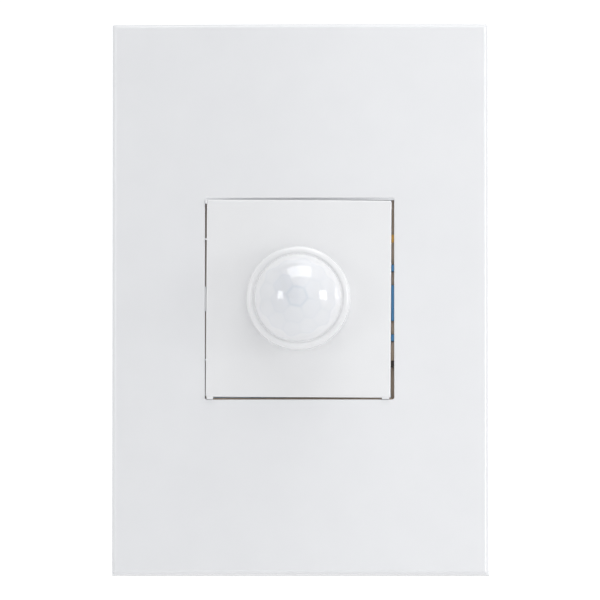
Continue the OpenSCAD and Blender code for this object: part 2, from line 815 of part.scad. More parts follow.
// Notched wheel with a stub shaft
module adjusting_wheel(tint) {
    low = wheel_z - wheel_t / 2;
    notch = 0.5;
    color(tint) difference() {
        union() {
            rod_z(wheel_d, low, low + wheel_t, wheel_x, wheel_y);
            rod_z(wheel_shaft_d, pot_top - wheel_shaft_l, low + wheel_t / 2, wheel_x, wheel_y);
        }
        for (i = [0:wheel_notches - 1])
            translate([wheel_x, wheel_y, low - eps]) rotate([0, 0, i * 360 / wheel_notches])
                translate([wheel_d / 2, 0, 0]) cylinder(d = notch, h = wheel_t + 2 * eps);
    }
}

module time_wheel() {
    adjusting_wheel([0.86, 0.52, 0.16]);
}

module light_wheel() {
    mirror([0, 0, 1]) adjusting_wheel([0.20, 0.17, 0.15]);
}

// Square pins that join the two boards
module link_pins() {
    tail = 0.9;
    color(BRASS) at_links()
        span([-link_pin / 2, sensor_front - tail, -link_pin / 2],
             [link_pin / 2, power_back + tail, link_pin / 2]);
}

// Two plastic strips that hold the pins
module link_headers() {
    length = link_n * link_pitch;
    color(BLACK) for (y = [sensor_back, power_front - header_w]) difference() {
        span([link_x - header_w / 2, y, -length / 2], [link_x + header_w / 2, y + header_w, length / 2]);
        link_holes(y, y + header_w);
    }
}

// Rear board: relay and power parts in front, wire terminals behind
module power_board() {
    color(GREEN) difference() {
        slab(power_front, power_back) square([board_w, board_h], center = true);
        screw_holes(power_front, power_back);
        link_holes(power_front, power_back);
    }
}

module power_board_screws() {
    grip = 3 * board_screw_d;
    color(STEEL) at_posts()
        board_screw(power_front - board_head_h, power_front,
                    power_front - board_head_h / 2, power_back + grip);
}

// Puts a part drawn upright on the front of the power board
module on_power_board(x, z) {
    translate([x, power_front, z]) rotate([90, 0, 0]) children();
}

module on_relay() {
    on_power_board(relay_x, relay_z) children();
}

module relay_base() {
    room = relay_wall + clamp_play;
    color(BLACK) on_relay()
        span([room - relay_l / 2, room - relay_w / 2, 0],
             [relay_l / 2 - room, relay_w / 2 - room, relay_floor]);
}

module relay_case() {
    color([0.10, 0.25, 0.50]) on_relay() difference() {
        span([-relay_l / 2, -relay_w / 2, 0], [relay_l / 2, relay_w / 2, relay_h]);
        span([relay_wall - relay_l / 2, relay_wall - relay_w / 2, -eps],
             [relay_l / 2 - relay_wall, relay_w / 2 - relay_wall, relay_h - relay_wall]);
    }
}

// Bent yoke with the round core
module relay_yoke() {
    color(STEEL) on_relay() {
        span([-yoke_out - yoke_t, -yoke_w / 2, relay_floor], [winding_d / 2, yoke_w / 2, core_foot]);
        span([-yoke_out - yoke_t, -yoke_w / 2, relay_floor],
             [-yoke_out, yoke_w / 2, armature_foot - hinge_gap]);
        translate([0, 0, relay_floor]) cylinder(d = core_d, h = core_top - relay_floor);
        translate([0, 0, core_top - yoke_t + hinge_gap]) cylinder(d = pole_face_d, h = yoke_t - hinge_gap);
    }
}

module relay_bobbin() {
    bore_d = core_d + 2 * hole_play;
    height = 2 * bobbin_t + winding_h;
    color([0.85, 0.82, 0.72]) on_relay() translate([0, 0, core_foot]) difference() {
        union() {
            cylinder(d = winding_d + bobbin_t, h = bobbin_t);
            cylinder(d = bore_d + 2 * bobbin_wall, h = height);
            translate([0, 0, height - bobbin_t]) cylinder(d = winding_d + bobbin_t, h = bobbin_t);
        }
        translate([0, 0, -eps]) cylinder(d = bore_d, h = height + 2 * eps);
    }
}

module relay_winding() {
    color([0.62, 0.32, 0.14]) on_relay() translate([0, 0, core_foot + bobbin_t]) difference() {
        cylinder(d = winding_d, h = winding_h);
        translate([0, 0, -eps]) cylinder(d = core_d + 2 * (hole_play + bobbin_wall), h = winding_h + 2 * eps);
    }
}

// Plate that tips on the yoke's edge when the coil pulls
module relay_armature() {
    color(STEEL) on_relay()
        span([hinge_x - yoke_t / 2, -yoke_w / 2, armature_foot],
             [pole_face_d / 2, yoke_w / 2, armature_foot + yoke_t]);
}

// Leaf on the armature, with the moving contact
module relay_contact_spring() {
    leaf = armature_foot + yoke_t;
    color(BRASS) on_relay() {
        span([hinge_x + yoke_t, -rivet_d, leaf], [contact_x + rivet_d / 2, rivet_d, leaf + leaf_t]);
        translate([contact_x, 0, leaf - rivet_h]) cylinder(d = rivet_d, h = rivet_h + leaf_t / 2);
    }
}

// Fixed contact on its strip
module relay_fixed_contact() {
    strip = 0.4;
    side = contact_x + rivet_d / 2;
    color(BRASS) on_relay() {
        translate([contact_x, 0, contact_top - rivet_h]) cylinder(d = rivet_d, h = rivet_h);
        span([contact_x - rivet_d / 2, -rivet_d / 2, contact_top - rivet_h - strip],
             [side, rivet_d / 2, contact_top - rivet_h]);
        span([side - strip, -rivet_d / 2, relay_floor], [side, rivet_d / 2, contact_top - rivet_h]);
    }
}

module dropper_capacitor() {
    color([0.80, 0.66, 0.16]) on_power_board(dropper_x, dropper_z)
        span([-dropper_l / 2, -dropper_w / 2, 0], [dropper_l / 2, dropper_w / 2, dropper_h]);
}

module smoothing_capacitor() {
    bead = 0.4;
    bead_h = 1.8;
    color(BLACK) on_power_board(smoother_x, smoother_z) difference() {
        cylinder(d = smoother_d, h = smoother_h);
        translate([0, 0, bead_h]) rotate_extrude() translate([smoother_d / 2, 0]) circle(r = bead);
    }
}

// Disc on two wire legs
module surge_varistor() {
    leg = 0.7;
    stand = 1.2;
    color([0.15, 0.30, 0.60]) on_power_board(varistor_x, varistor_z) {
        translate([0, varistor_t / 2, stand + varistor_d / 2]) rotate([90, 0, 0])
            cylinder(d = varistor_d, h = varistor_t);
        for (s = [-1, 1]) translate([s * varistor_d / 4, 0, 0]) cylinder(d = leg, h = stand + varistor_d / 4);
    }
}

module fuse() {
    color([0.35, 0.22, 0.14]) on_power_board(fuse_x, fuse_z) cylinder(d = fuse_d, h = fuse_h);
}

module bridge_rectifier() {
    color(BLACK) on_power_board(bridge_x, bridge_z)
        span([-bridge_w / 2, -bridge_l / 2, 0], [bridge_w / 2, bridge_l / 2, bridge_h]);
}

// Round body with one flat side
module driver_transistor() {
    color(BLACK) on_power_board(driver_x, driver_z) difference() {
        cylinder(d = driver_d, h = driver_h);
        span([-driver_d, -driver_d, -eps], [driver_d, -driver_d / 4, driver_h + eps]);
    }
}

// One wire terminal: a block with a wire entry below and a screw well behind
module terminal(index) {
    width = pole_pitch - pole_gap;
    room_w = cage_w + 2 * clamp_play;
    room_l = cage_l + 2 * clamp_play;
    slot_w = bar_w + 2 * clamp_play;
    color([0.16, 0.17, 0.18]) translate([index * pole_pitch, 0, 0]) difference() {
        span([-width / 2, power_back, pole_face_z], [width / 2, pole_back, pole_face_z + pole_d]);
        span([-room_w / 2, cage_low - clamp_play, clamp_z - room_l / 2],
             [room_w / 2, head_y, clamp_z + room_l / 2]);
        rod_y(clamp_head_d + 2 * clamp_play, head_y - eps, pole_back + eps, 0, clamp_z);
        rod_z(wire_d, pole_face_z - eps, clamp_z, 0, wire_y);
        span([-slot_w / 2, bar_y - clamp_play, clamp_z],
             [slot_w / 2, bar_y + bar_t + clamp_play, leg_z + leg_t + clamp_play]);
        span([-slot_w / 2, power_back - eps, leg_z - clamp_play],
             [slot_w / 2, bar_y, leg_z + leg_t + clamp_play]);
    }
}

module line_terminal() {
    terminal(-1);
}

module neutral_terminal() {
    terminal(0);
}

module load_terminal() {
    terminal(1);
}

// Bent bars that the wires are clamped against
module contact_bars() {
    color(BRASS) at_poles() {
        span([-bar_w / 2, bar_y, clamp_z - cage_l / 2], [bar_w / 2, bar_y + bar_t, leg_z + leg_t]);
        span([-bar_w / 2, power_back, leg_z], [bar_w / 2, bar_y + bar_t, leg_z + leg_t]);
    }
}

// Square cage that rises on its screw
module cage(index) {
    hole_d = clamp_screw_d + 2 * wheel_play;
    color(BRASS) translate([index * pole_pitch, 0, clamp_z]) difference() {
        span([-cage_w / 2, cage_low, -cage_l / 2], [cage_w / 2, cage_high, cage_l / 2]);
        span([cage_wall - cage_w / 2, cage_low + cage_wall, -cage_l],
             [cage_w / 2 - cage_wall, cage_high - cage_thread, cage_l]);
        rod_y(hole_d, cage_high - cage_thread - eps, cage_high + eps);
    }
}

module line_cage() {
    cage(-1);
}

module neutral_cage() {
    cage(0);
}

module load_cage() {
    cage(1);
}

// Slotted screw whose tip bears on the contact bar
module clamp_screw(index) {
    slit = clamp_head_h / 2;
    tip = bar_y + bar_t + wheel_play;
    color(STEEL) translate([index * pole_pitch, 0, clamp_z]) difference() {
        union() {
            rod_y(clamp_screw_d, tip, head_y + clamp_head_h / 2);
            rod_y(clamp_head_d, head_y, head_y + clamp_head_h);
        }
        span([-clamp_head_d, head_y + clamp_head_h - slit, -slit / 2],
             [clamp_head_d, head_y + clamp_head_h + eps, slit / 2]);
    }
}

module line_screw() {
    clamp_screw(-1);
}

module neutral_screw() {
    clamp_screw(0);
}

module load_screw() {
    clamp_screw(1);
}

// Deep box with the latch on its right, a stop flange, vents and terminal windows
module rear_housing() {
    flange_x = aperture_w / 2 + flange_reach;
    flange_z = housing_h / 2 - housing_corner;
    wheel_room = wheel_t / 2 + board_gap;
    window_w = 3 * pole_pitch - pole_gap + 2 * clamp_play;
    vent_step = 2.5 * vent_w;
    vent_y = (tongue_root + power_front) / 2;
    color(BLUE) difference() {
        union() {
            difference() {
                slab(skirt_y, housing_back) round_rect(housing_w, housing_h, housing_corner);
                slab(skirt_y - eps, housing_floor) square([inner_w, inner_h], center = true);
            }
            at_posts() rod_y(post_d, power_back, housing_floor + housing_wall / 2);
            for (sx = [-1, 1], sz = [0, 1]) mirror([0, 0, sz])
                span([min(sx * flange_x, sx * inner_w / 2), flange_front, guide_out],
                     [max(sx * flange_x, sx * inner_w / 2), flange_back, flange_z]);
            translate([0, 0, latch_z]) for (sz = [0, 1]) mirror([0, 0, sz])
                span([inner_w / 2, hook_front, guide_in], [guide_x, flange_back, guide_out]);
            translate([0, 0, latch_z - tongue_w / 2]) linear_extrude(tongue_w) polygon([
                [inner_w / 2, hook_front], [aperture_w / 2 - guide_play, hook_front],
                [hook_x, hook_back - hook_t / 3], [hook_x, hook_back], [inner_w / 2, hook_back]]);
        }
        at_posts() rod_y(board_screw_d + 2 * hole_play, power_back - eps, housing_floor);
        translate([0, 0, latch_z]) for (sz = [0, 1]) mirror([0, 0, sz])
            span([0, skirt_y - eps, tongue_w / 2], [housing_w, tongue_root, guide_in]);
        span([-housing_w, skirt_y - eps, -lug_w / 2 - board_gap],
             [0, hook_back + board_gap, lug_w / 2 + board_gap]);
        at_wheels() span([0, skirt_y - eps, wheel_z - wheel_room],
                         [housing_w, wheel_y + wheel_d / 2 + board_gap, wheel_z + wheel_room]);
        at_arms() span([-arm_w / 2 - board_gap, arm_end - hook_t - latch_play, 0],
                       [arm_w / 2 + board_gap, arm_end + latch_play, housing_h]);
        for (i = [0:vent_n - 1])
            translate([(i - (vent_n - 1) / 2) * vent_step, 0, 0])
                span([-vent_w / 2, vent_y - vent_l / 2, 0], [vent_w / 2, vent_y + vent_l / 2, housing_h]);
        span([-window_w / 2, power_back - latch_play, -housing_h],
             [window_w / 2, pole_back + latch_play / 2, 0]);
        at_poles() rod_y(driver_hole_d, pole_back, housing_back + eps, 0, clamp_z);
    }
}

cover_plate();
support_frame();
box_screws();
sensor_bezel();
dome_lens();
lens_retainer();
sensor_board();
sensor_board_screws();
detector_base();
detector_can();
detector_window();
light_cell();
control_chip();
board_passives();
time_adjuster();
light_adjuster();
time_wheel();
light_wheel();
link_pins();
link_headers();
power_board();
power_board_screws();
relay_base();
relay_case();
relay_yoke();
relay_bobbin();
relay_winding();
relay_armature();
relay_contact_spring();
relay_fixed_contact();
dropper_capacitor();
smoothing_capacitor();
surge_varistor();
fuse();
bridge_rectifier();
driver_transistor();
line_terminal();
neutral_terminal();
load_terminal();
contact_bars();
line_cage();
neutral_cage();
load_cage();
line_screw();
neutral_screw();
load_screw();
rear_housing();
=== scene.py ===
# %% [markdown]
# # A motion sensor light switch
# The switch is a white wall plate with a bowed face. A square sensor module shows in the middle, with a
# round collar and a milky dome. Behind it are a taupe support frame, a blue housing and the wire terminals.
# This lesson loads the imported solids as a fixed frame, then models what the eye meets: soft edges, the
# bowed plate, the lens with its facets, real screw threads, and finishes that are made of nodes.

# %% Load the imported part
import json
import math

import bmesh
import bpy
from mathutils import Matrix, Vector

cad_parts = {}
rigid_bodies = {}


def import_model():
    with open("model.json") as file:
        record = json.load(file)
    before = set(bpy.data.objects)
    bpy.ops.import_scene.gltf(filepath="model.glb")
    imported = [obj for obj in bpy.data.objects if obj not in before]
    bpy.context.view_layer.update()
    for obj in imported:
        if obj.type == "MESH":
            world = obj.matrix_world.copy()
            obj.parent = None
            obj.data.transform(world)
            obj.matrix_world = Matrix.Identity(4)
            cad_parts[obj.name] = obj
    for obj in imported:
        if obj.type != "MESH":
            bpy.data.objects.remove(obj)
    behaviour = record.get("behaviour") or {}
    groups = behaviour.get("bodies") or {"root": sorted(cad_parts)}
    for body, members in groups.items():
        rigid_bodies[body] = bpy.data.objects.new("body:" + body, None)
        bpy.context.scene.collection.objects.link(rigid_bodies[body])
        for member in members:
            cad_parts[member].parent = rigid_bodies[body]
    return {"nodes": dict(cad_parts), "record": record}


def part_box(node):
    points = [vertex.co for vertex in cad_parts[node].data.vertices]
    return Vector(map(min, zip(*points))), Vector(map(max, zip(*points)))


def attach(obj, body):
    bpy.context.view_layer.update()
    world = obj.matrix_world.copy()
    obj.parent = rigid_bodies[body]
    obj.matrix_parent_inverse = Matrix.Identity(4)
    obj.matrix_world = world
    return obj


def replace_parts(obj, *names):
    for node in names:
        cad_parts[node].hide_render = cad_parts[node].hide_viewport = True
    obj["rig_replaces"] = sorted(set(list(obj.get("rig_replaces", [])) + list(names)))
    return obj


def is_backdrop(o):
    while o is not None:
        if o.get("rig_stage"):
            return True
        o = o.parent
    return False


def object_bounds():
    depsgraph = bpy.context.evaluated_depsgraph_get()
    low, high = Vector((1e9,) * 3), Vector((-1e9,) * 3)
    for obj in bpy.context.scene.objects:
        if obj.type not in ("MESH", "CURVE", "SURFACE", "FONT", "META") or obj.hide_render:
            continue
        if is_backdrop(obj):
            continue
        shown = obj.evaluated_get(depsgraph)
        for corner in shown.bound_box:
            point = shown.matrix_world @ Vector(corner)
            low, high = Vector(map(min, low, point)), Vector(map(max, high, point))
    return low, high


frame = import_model()
cad_low, cad_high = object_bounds()
MM = 0.001
print("loaded", len(frame["nodes"]), "nodes,", [round(s / MM, 2) for s in cad_high - cad_low], "mm")

# %% [markdown]
# ## The camera
# The photograph looks almost straight at the plate with a long lens, from a little to the right and a
# little below. The two angles, the distance and the focal length were fitted to the plate's edges.

# %% Camera
IMAGE_SIDE = 600
FOCAL_PIXELS = 6480
SENSOR = 36.0
CAMERA_TURN = math.radians(1.448)
CAMERA_RISE = math.radians(-2.471)
CAMERA_DISTANCE = 1406 * MM
FAR_CLIP = 20.0
AIM = Vector((0.0, -5.0, -0.1)) * MM


def direction(turn, rise):
    """The way from the object to a place in front of it, turned to the right and raised."""
    return Vector((math.sin(turn) * math.cos(rise), -math.cos(turn) * math.cos(rise), math.sin(rise)))


bpy.ops.object.select_all(action="DESELECT")
bpy.ops.object.camera_add()
camera = bpy.context.object
camera.name = "portrait_camera"
camera.data.sensor_width = SENSOR
camera.data.lens = SENSOR * FOCAL_PIXELS / IMAGE_SIDE
camera.data.clip_end = FAR_CLIP
to_camera = direction(CAMERA_TURN, CAMERA_RISE)
camera.location = AIM + to_camera * CAMERA_DISTANCE
camera.rotation_euler = (-to_camera).to_track_quat("-Z", "Y").to_euler()
bpy.context.scene.camera = camera
print("camera lens", round(camera.data.lens, 1), "mm")

# %% [markdown]
# ## Studio light
# The dome mirrors three softboxes: a broad one overhead, a tall one at the right and a small one at the
# left. Their places and spans are read from those mirror images. A pale surround fills the shadows. It is
# dimmest in front, just left of the middle, and much brighter just right of it, which gives the plate its
# two tones. The far left is bright again. Behind the switch it is brightest, so the background is white.

# %% Softboxes
LAMP_DISTANCE = 1.6


def softbox(name, turn, rise, across, up, radiance):
    """An area lamp that covers the given angles, in degrees, as seen from the switch."""
    width = 2 * LAMP_DISTANCE * math.tan(math.radians(across / 2))
    height = 2 * LAMP_DISTANCE * math.tan(math.radians(up / 2))
    away = direction(math.radians(turn), math.radians(rise))
    bpy.ops.object.light_add(type="AREA", location=away * LAMP_DISTANCE)
    lamp = bpy.context.object
    lamp.name = name
    lamp.data.shape = "RECTANGLE"
    lamp.data.size, lamp.data.size_y = width, height
    lamp.data.energy = math.pi * width * height * radiance
    lamp.rotation_euler = away.to_track_quat("Z", "Y").to_euler()
    print(name, round(width, 2), "by", round(height, 2), "m", round(lamp.data.energy, 2), "W")


softbox("overhead_softbox", turn=13, rise=71, across=48, up=34, radiance=1.9)
softbox("right_softbox", turn=69, rise=-4, across=21, up=38, radiance=4.5)
softbox("left_softbox", turn=-45, rise=6, across=15, up=18, radiance=3.2)

# %% Surround
# The glow in front, from the far left at -1 to the far right at 1.
GLOW_ACROSS = ((-1.0, 0.90), (-0.6, 0.40), (-0.14, 0.245), (0.14, 0.875), (0.5, 0.96), (0.8, 0.66),
               (1.0, 0.62))
BACK_GLOW = 1.10
BACK_START = 0.35
BACK_FULL = 0.9
SURROUND_TONE = (0.985, 0.992, 1.0)
world = bpy.data.worlds.new("pale_surround")
world.use_nodes = True
bpy.context.scene.world = world
sky, wire = world.node_tree.nodes, world.node_tree.links.new
surround = sky["Background"]
surround.inputs["Color"].default_value = (*SURROUND_TONE, 1.0)
split = sky.new("ShaderNodeSeparateXYZ")
wire(sky.new("ShaderNodeTexCoord").outputs["Generated"], split.inputs["Vector"])
across = sky.new("ShaderNodeMapRange")
across.inputs["From Min"].default_value = -1.0
wire(split.outputs["X"], across.inputs["Value"])
front = sky.new("ShaderNodeValToRGB")
wire(across.outputs["Result"], front.inputs["Fac"])
stops = front.color_ramp.elements
for x, glow in GLOW_ACROSS[1:-1]:
    stops.new((x + 1) / 2)
for stop, (x, glow) in zip(stops, GLOW_ACROSS):
    stop.color = (glow, glow, glow, 1.0)
behind = sky.new("ShaderNodeMapRange")
behind.inputs["From Min"].default_value = BACK_START
behind.inputs["From Max"].default_value = BACK_FULL
wire(split.outputs["Y"], behind.inputs["Value"])
strength = sky.new("ShaderNodeMix")
strength.inputs["B"].default_value = BACK_GLOW
wire(behind.outputs["Result"], strength.inputs["Factor"])
wire(front.outputs["Color"], strength.inputs["A"])
wire(strength.outputs["Result"], surround.inputs["Strength"])
bpy.context.scene.view_settings.view_transform = "Standard"
print("surround up to", max(glow for x, glow in GLOW_ACROSS), "in front and", BACK_GLOW, "behind")

# %% [markdown]
# ## Finishes
# Every finish is built from nodes on Object coordinates, so a grain keeps its real size. Moulded plastic
# has a slow drift of tone, a fine sparkle of roughness and a shallow relief left by the eroded mould.

# %% Helpers for the finishes
NOISE_LOW = 0.3
NOISE_HIGH = 0.7


def open_finish(name):
    """A new node material, with its shader and its Object coordinates."""
    material = bpy.data.materials.new(name)
    material.use_nodes = True
    nodes = material.node_tree.nodes
    return material, nodes["Principled BSDF"], nodes.new("ShaderNodeTexCoord").outputs["Object"]


def add(material, kind, **inputs):
    """A node of the given kind, with values or links on its inputs."""
    made = material.node_tree.nodes.new("ShaderNode" + kind)
    for name, value in inputs.items():
        socket = made.inputs[name.replace("_", " ")]
        if isinstance(value, bpy.types.NodeSocket):
            material.node_tree.links.new(value, socket)
        else:
            socket.default_value = value
    return made


def mottle(material, coords, size, detail=3.0):
    """Noise whose patches are about the given size."""
    return add(material, "TexNoise", Vector=coords, Scale=1 / size, Detail=detail).outputs["Fac"]


def between(material, factor, low, high):
    """A number that goes from low to high over the usual range of a noise."""
    made = add(material, "MapRange", Value=factor, From_Min=NOISE_LOW, From_Max=NOISE_HIGH, To_Min=low,
               To_Max=high)
    return made.outputs["Result"]


def blend_tones(material, factor, first, second, start=0.35, end=0.65):
    """A colour that goes from first to second as the factor goes from start to end."""
    ramp = add(material, "ValToRGB", Fac=factor)
    low, high = ramp.color_ramp.elements
    low.position, high.position = start, end
    low.color, high.color = (*first, 1.0), (*second, 1.0)
    return ramp.outputs["Color"]


def connect(material, output, node, name):
    """Links an output to one of a node's inputs."""
    material.node_tree.links.new(output, node.inputs[name])


def relief(material, shader, height, depth):
    """Shallow relief on the shader's normal, with its depth in metres."""
    bump = add(material, "Bump", Height=height, Strength=1.0, Distance=depth)
    connect(material, bump.outputs["Normal"], shader, "Normal")


# %% Moulded plastics
TONE_DRIFT = 9 * MM
MOULD_GRAIN = 0.25 * MM
GRAIN_DETAIL = 2.0
ROUGH_LESS = 0.05
ROUGH_MORE = 0.06
FINE_RELIEF = 0.002 * MM


def moulded_plastic(name, tone, shade, rough, gloss=0.5, depth=2 * FINE_RELIEF):
    """Plastic from an eroded mould: drifting tone, uneven roughness and fine relief."""
    material, shader, coords = open_finish(name)
    drift = mottle(material, coords, TONE_DRIFT)
    connect(material, blend_tones(material, drift, shade, tone), shader, "Base Color")
    fine = mottle(material, coords, MOULD_GRAIN, GRAIN_DETAIL)
    connect(material, between(material, fine, rough - ROUGH_LESS, rough + ROUGH_MORE), shader, "Roughness")
    relief(material, shader, fine, depth)
    shader.inputs["Specular IOR Level"].default_value = gloss
    return material


# Each has a tone, a shade and a roughness, and the two whites have their own gloss and relief.
PLASTICS = {
    "cover_white": ((0.862, 0.868, 0.886), (0.850, 0.856, 0.875), 0.16, 0.8, FINE_RELIEF),
    "bezel_white": ((0.878, 0.881, 0.892), (0.867, 0.870, 0.882), 0.18, 0.8, FINE_RELIEF),
    "frame_taupe": ((0.560, 0.445, 0.340), (0.540, 0.427, 0.325), 0.50),
    "housing_blue": ((0.075, 0.262, 0.505), (0.070, 0.248, 0.480), 0.42),
    "wheel_orange": ((0.930, 0.560, 0.130), (0.880, 0.510, 0.110), 0.40),
    "wheel_dark": ((0.060, 0.046, 0.036), (0.048, 0.036, 0.028), 0.45),
    "terminal_grey": ((0.055, 0.060, 0.066), (0.042, 0.046, 0.051), 0.52),
    "part_black": ((0.032, 0.032, 0.036), (0.022, 0.022, 0.025), 0.48),
    "part_tan": ((0.360, 0.275, 0.190), (0.290, 0.215, 0.145), 0.60),
    "bobbin_cream": ((0.720, 0.660, 0.500), (0.650, 0.590, 0.440), 0.45),
    "capacitor_yellow": ((0.680, 0.450, 0.050), (0.600, 0.390, 0.040), 0.40),
    "fuse_brown": ((0.170, 0.085, 0.045), (0.130, 0.062, 0.032), 0.42),
    "relay_blue": ((0.030, 0.100, 0.300), (0.024, 0.085, 0.260), 0.25),
    "varistor_blue": ((0.030, 0.120, 0.350), (0.022, 0.095, 0.290), 0.22),
    "sleeve_black": ((0.035, 0.036, 0.042), (0.026, 0.027, 0.032), 0.25),
    "filter_dark": ((0.026, 0.024, 0.028), (0.020, 0.018, 0.022), 0.12),
    "cell_clear": ((0.700, 0.780, 0.820), (0.620, 0.710, 0.760), 0.10),
}
finishes = {name: moulded_plastic(name, *look) for name, look in PLASTICS.items()}
print(len(finishes), "moulded plastics")

# %% [markdown]
# Metal parts are plated or stamped. The grain is drawn out along one axis, which leaves the faint lines
# of rolling and drawing, and the roughness follows it.

# %% Metals
LINE_STRETCH = (1.0, 9.0, 1.0)
LINE_SIZE = 0.9 * MM
LINE_DETAIL = 4.0
LINE_RELIEF = 0.003 * MM
LINE_ROUGHER = 0.08
LINE_SMOOTHER = 0.06


def drawn_metal(name, tone, shade, rough):
    """Plated or stamped metal with a grain drawn out along one axis."""
    material, shader, coords = open_finish(name)
    shader.inputs["Metallic"].default_value = 1.0
    drawn = add(material, "Mapping", Vector=coords, Scale=LINE_STRETCH).outputs["Vector"]
    lines = mottle(material, drawn, LINE_SIZE, LINE_DETAIL)
    connect(material, blend_tones(material, lines, shade, tone), shader, "Base Color")
    uneven = between(material, lines, rough + LINE_ROUGHER, rough - LINE_SMOOTHER)
    connect(material, uneven, shader, "Roughness")
    relief(material, shader, lines, LINE_RELIEF)
    return material


METALS = {
    "screw_steel": ((0.66, 0.67, 0.69), (0.52, 0.53, 0.55), 0.34),
    "can_steel": ((0.64, 0.64, 0.65), (0.54, 0.54, 0.55), 0.28),
    "relay_iron": ((0.55, 0.55, 0.56), (0.44, 0.44, 0.45), 0.36),
    "contact_brass": ((0.72, 0.55, 0.24), (0.58, 0.42, 0.17), 0.32),
}
finishes.update({name: drawn_metal(name, *look) for name, look in METALS.items()})
print(len(METALS), "drawn metals")

# %% [markdown]
# Two finishes have a pattern of their own. A circuit board shows copper tracks under green lacquer, and
# the relay's coil shows the turns of its enamelled wire.

# %% Circuit board
TRACK_PITCH = 5 * MM
TRACK_WIDTH = 0.05
TRACK_OFFSET = 0.37
TRACK_SQUASH = 1.6
TRACK_RELIEF = 0.02 * MM
LACQUER_TONE = (0.016, 0.105, 0.045)
TRACK_TONE = (0.030, 0.170, 0.075)
LACQUER_MOTTLE = 1.5 * MM


def lacquered_board(name):
    """Green solder lacquer over square-cornered copper tracks."""
    material, shader, coords = open_finish(name)
    flat = add(material, "Mapping", Vector=coords, Rotation=(math.pi / 2, 0.0, 0.0)).outputs["Vector"]
    tracks = add(material, "TexBrick", Vector=flat, Scale=1 / TRACK_PITCH, Mortar_Size=TRACK_WIDTH)
    tracks.offset, tracks.squash = TRACK_OFFSET, TRACK_SQUASH
    copper = tracks.outputs["Fac"]
    tones = blend_tones(material, copper, LACQUER_TONE, TRACK_TONE, 0.2, 0.8)
    connect(material, tones, shader, "Base Color")
    cloud = mottle(material, coords, LACQUER_MOTTLE)
    connect(material, between(material, cloud, 0.24, 0.40), shader, "Roughness")
    relief(material, shader, copper, TRACK_RELIEF)
    return material


finishes["board_green"] = lacquered_board("board_green")
print("board with tracks", round(TRACK_PITCH / MM, 1), "mm apart")

# %% Winding
WIRE_PITCH = 0.9 * MM
WIRE_UNEVEN = 0.4
WIRE_RELIEF = 0.06 * MM
WIRE_SHADE = (0.26, 0.085, 0.03)
WIRE_TONE = (0.60, 0.24, 0.09)


def wound_copper(name):
    """Turns of enamelled wire that lie side by side along Y."""
    material, shader, coords = open_finish(name)
    shader.inputs["Metallic"].default_value = 1.0
    wires = add(material, "TexWave", Vector=coords, Scale=1 / WIRE_PITCH, Distortion=WIRE_UNEVEN)
    wires.bands_direction = "Y"
    ridge = wires.outputs["Fac"]
    connect(material, blend_tones(material, ridge, WIRE_SHADE, WIRE_TONE, 0.1, 0.8), shader, "Base Color")
    connect(material, between(material, ridge, 0.5, 0.3), shader, "Roughness")
    relief(material, shader, ridge, WIRE_RELIEF)
    return material


finishes["winding_copper"] = wound_copper("winding_copper")
print(len(finishes), "finishes so far")

# %% [markdown]
# The lens is milky polyethylene. Its outside is smooth and glossy, and its facets are small lenses on the
# inside that show through as faint cells with bluish joints. The cells come from an attribute that the
# lens mesh will carry: 0 on a joint, 1 inside a cell. A second attribute holds the tone of each cell,
# which is painted light and shade that stands in for the way each facet passes the light.

# %% Milky lens
JOINT_TONE = (0.660, 0.708, 0.770)
# Each cell is painted between these two tones, from painted shade to painted light.
CELL_TONE = (0.785, 0.803, 0.842)
CELL_TONE_PAINTED_LIT = (0.876, 0.879, 0.895)
MILK_CLOUD = 1.2 * MM
MILK_DEPTH = 0.4 * MM
# A Mix node has sockets for numbers, vectors and colours. These are its factor and its colours.
MIX_FACTOR, MIX_FIRST, MIX_SECOND, MIX_RESULT = 0, 6, 7, 2


def milky_lens(name):
    """Cloudy, glossy plastic whose cells and painted light and shade come from the mesh's attributes."""
    material, shader, coords = open_finish(name)
    cell = add(material, "Attribute")
    cell.attribute_name = "cell"
    # The painted light and shade of each cell, read from the mesh.
    tone = add(material, "Attribute")
    tone.attribute_name = "cell_painted_light"
    inside = blend_tones(material, tone.outputs["Fac"], CELL_TONE, CELL_TONE_PAINTED_LIT, 0.0, 1.0)
    mix = add(material, "Mix")
    mix.data_type = "RGBA"
    mix.inputs[MIX_FIRST].default_value = (*JOINT_TONE, 1.0)
    connect(material, cell.outputs["Fac"], mix, MIX_FACTOR)
    connect(material, inside, mix, MIX_SECOND)
    connect(material, mix.outputs[MIX_RESULT], shader, "Base Color")
    cloud = mottle(material, coords, MILK_CLOUD)
    connect(material, between(material, cloud, 0.04, 0.07), shader, "Roughness")
    for name, value in (("Specular IOR Level", 0.6), ("Coat Weight", 0.6), ("Coat Roughness", 0.03),
                        ("Coat IOR", 1.6), ("Subsurface Weight", 0.3),
                        ("Subsurface Radius", (1.0, 1.0, 1.1)), ("Subsurface Scale", MILK_DEPTH)):
        shader.inputs[name].default_value = value
    return material


finishes["lens_milk"] = milky_lens("lens_milk")
print("finishes:", sorted(finishes))

# %% [markdown]
# ## Working by hand, in code
# An operator acts on whatever is selected, so each helper first clears the selection. `pick` selects
# vertices, edges or faces by a test, as a modeller would click them. The starting shapes put their place
# into their mesh, and `dress` seats a finished piece on its body.

# %% Selecting
HAIR = 0.03 * MM
WELD = 0.001 * MM
CUT_LIMIT = HAIR / 100
SHARP_TURN = 1.0


def clear():
    """Object mode, with nothing selected."""
    if bpy.context.mode != "OBJECT":
        bpy.ops.object.mode_set(mode="OBJECT")
    bpy.ops.object.select_all(action="DESELECT")


def focus(piece):
    """Object mode, with only this piece selected and active."""
    clear()
    piece.select_set(True)
    bpy.context.view_layer.objects.active = piece


def edit(piece):
    """Edit mode, with all of this piece selected."""
    focus(piece)
    bpy.ops.object.mode_set(mode="EDIT")
    bpy.ops.mesh.select_mode(type="VERT")
    bpy.ops.mesh.select_all(action="SELECT")


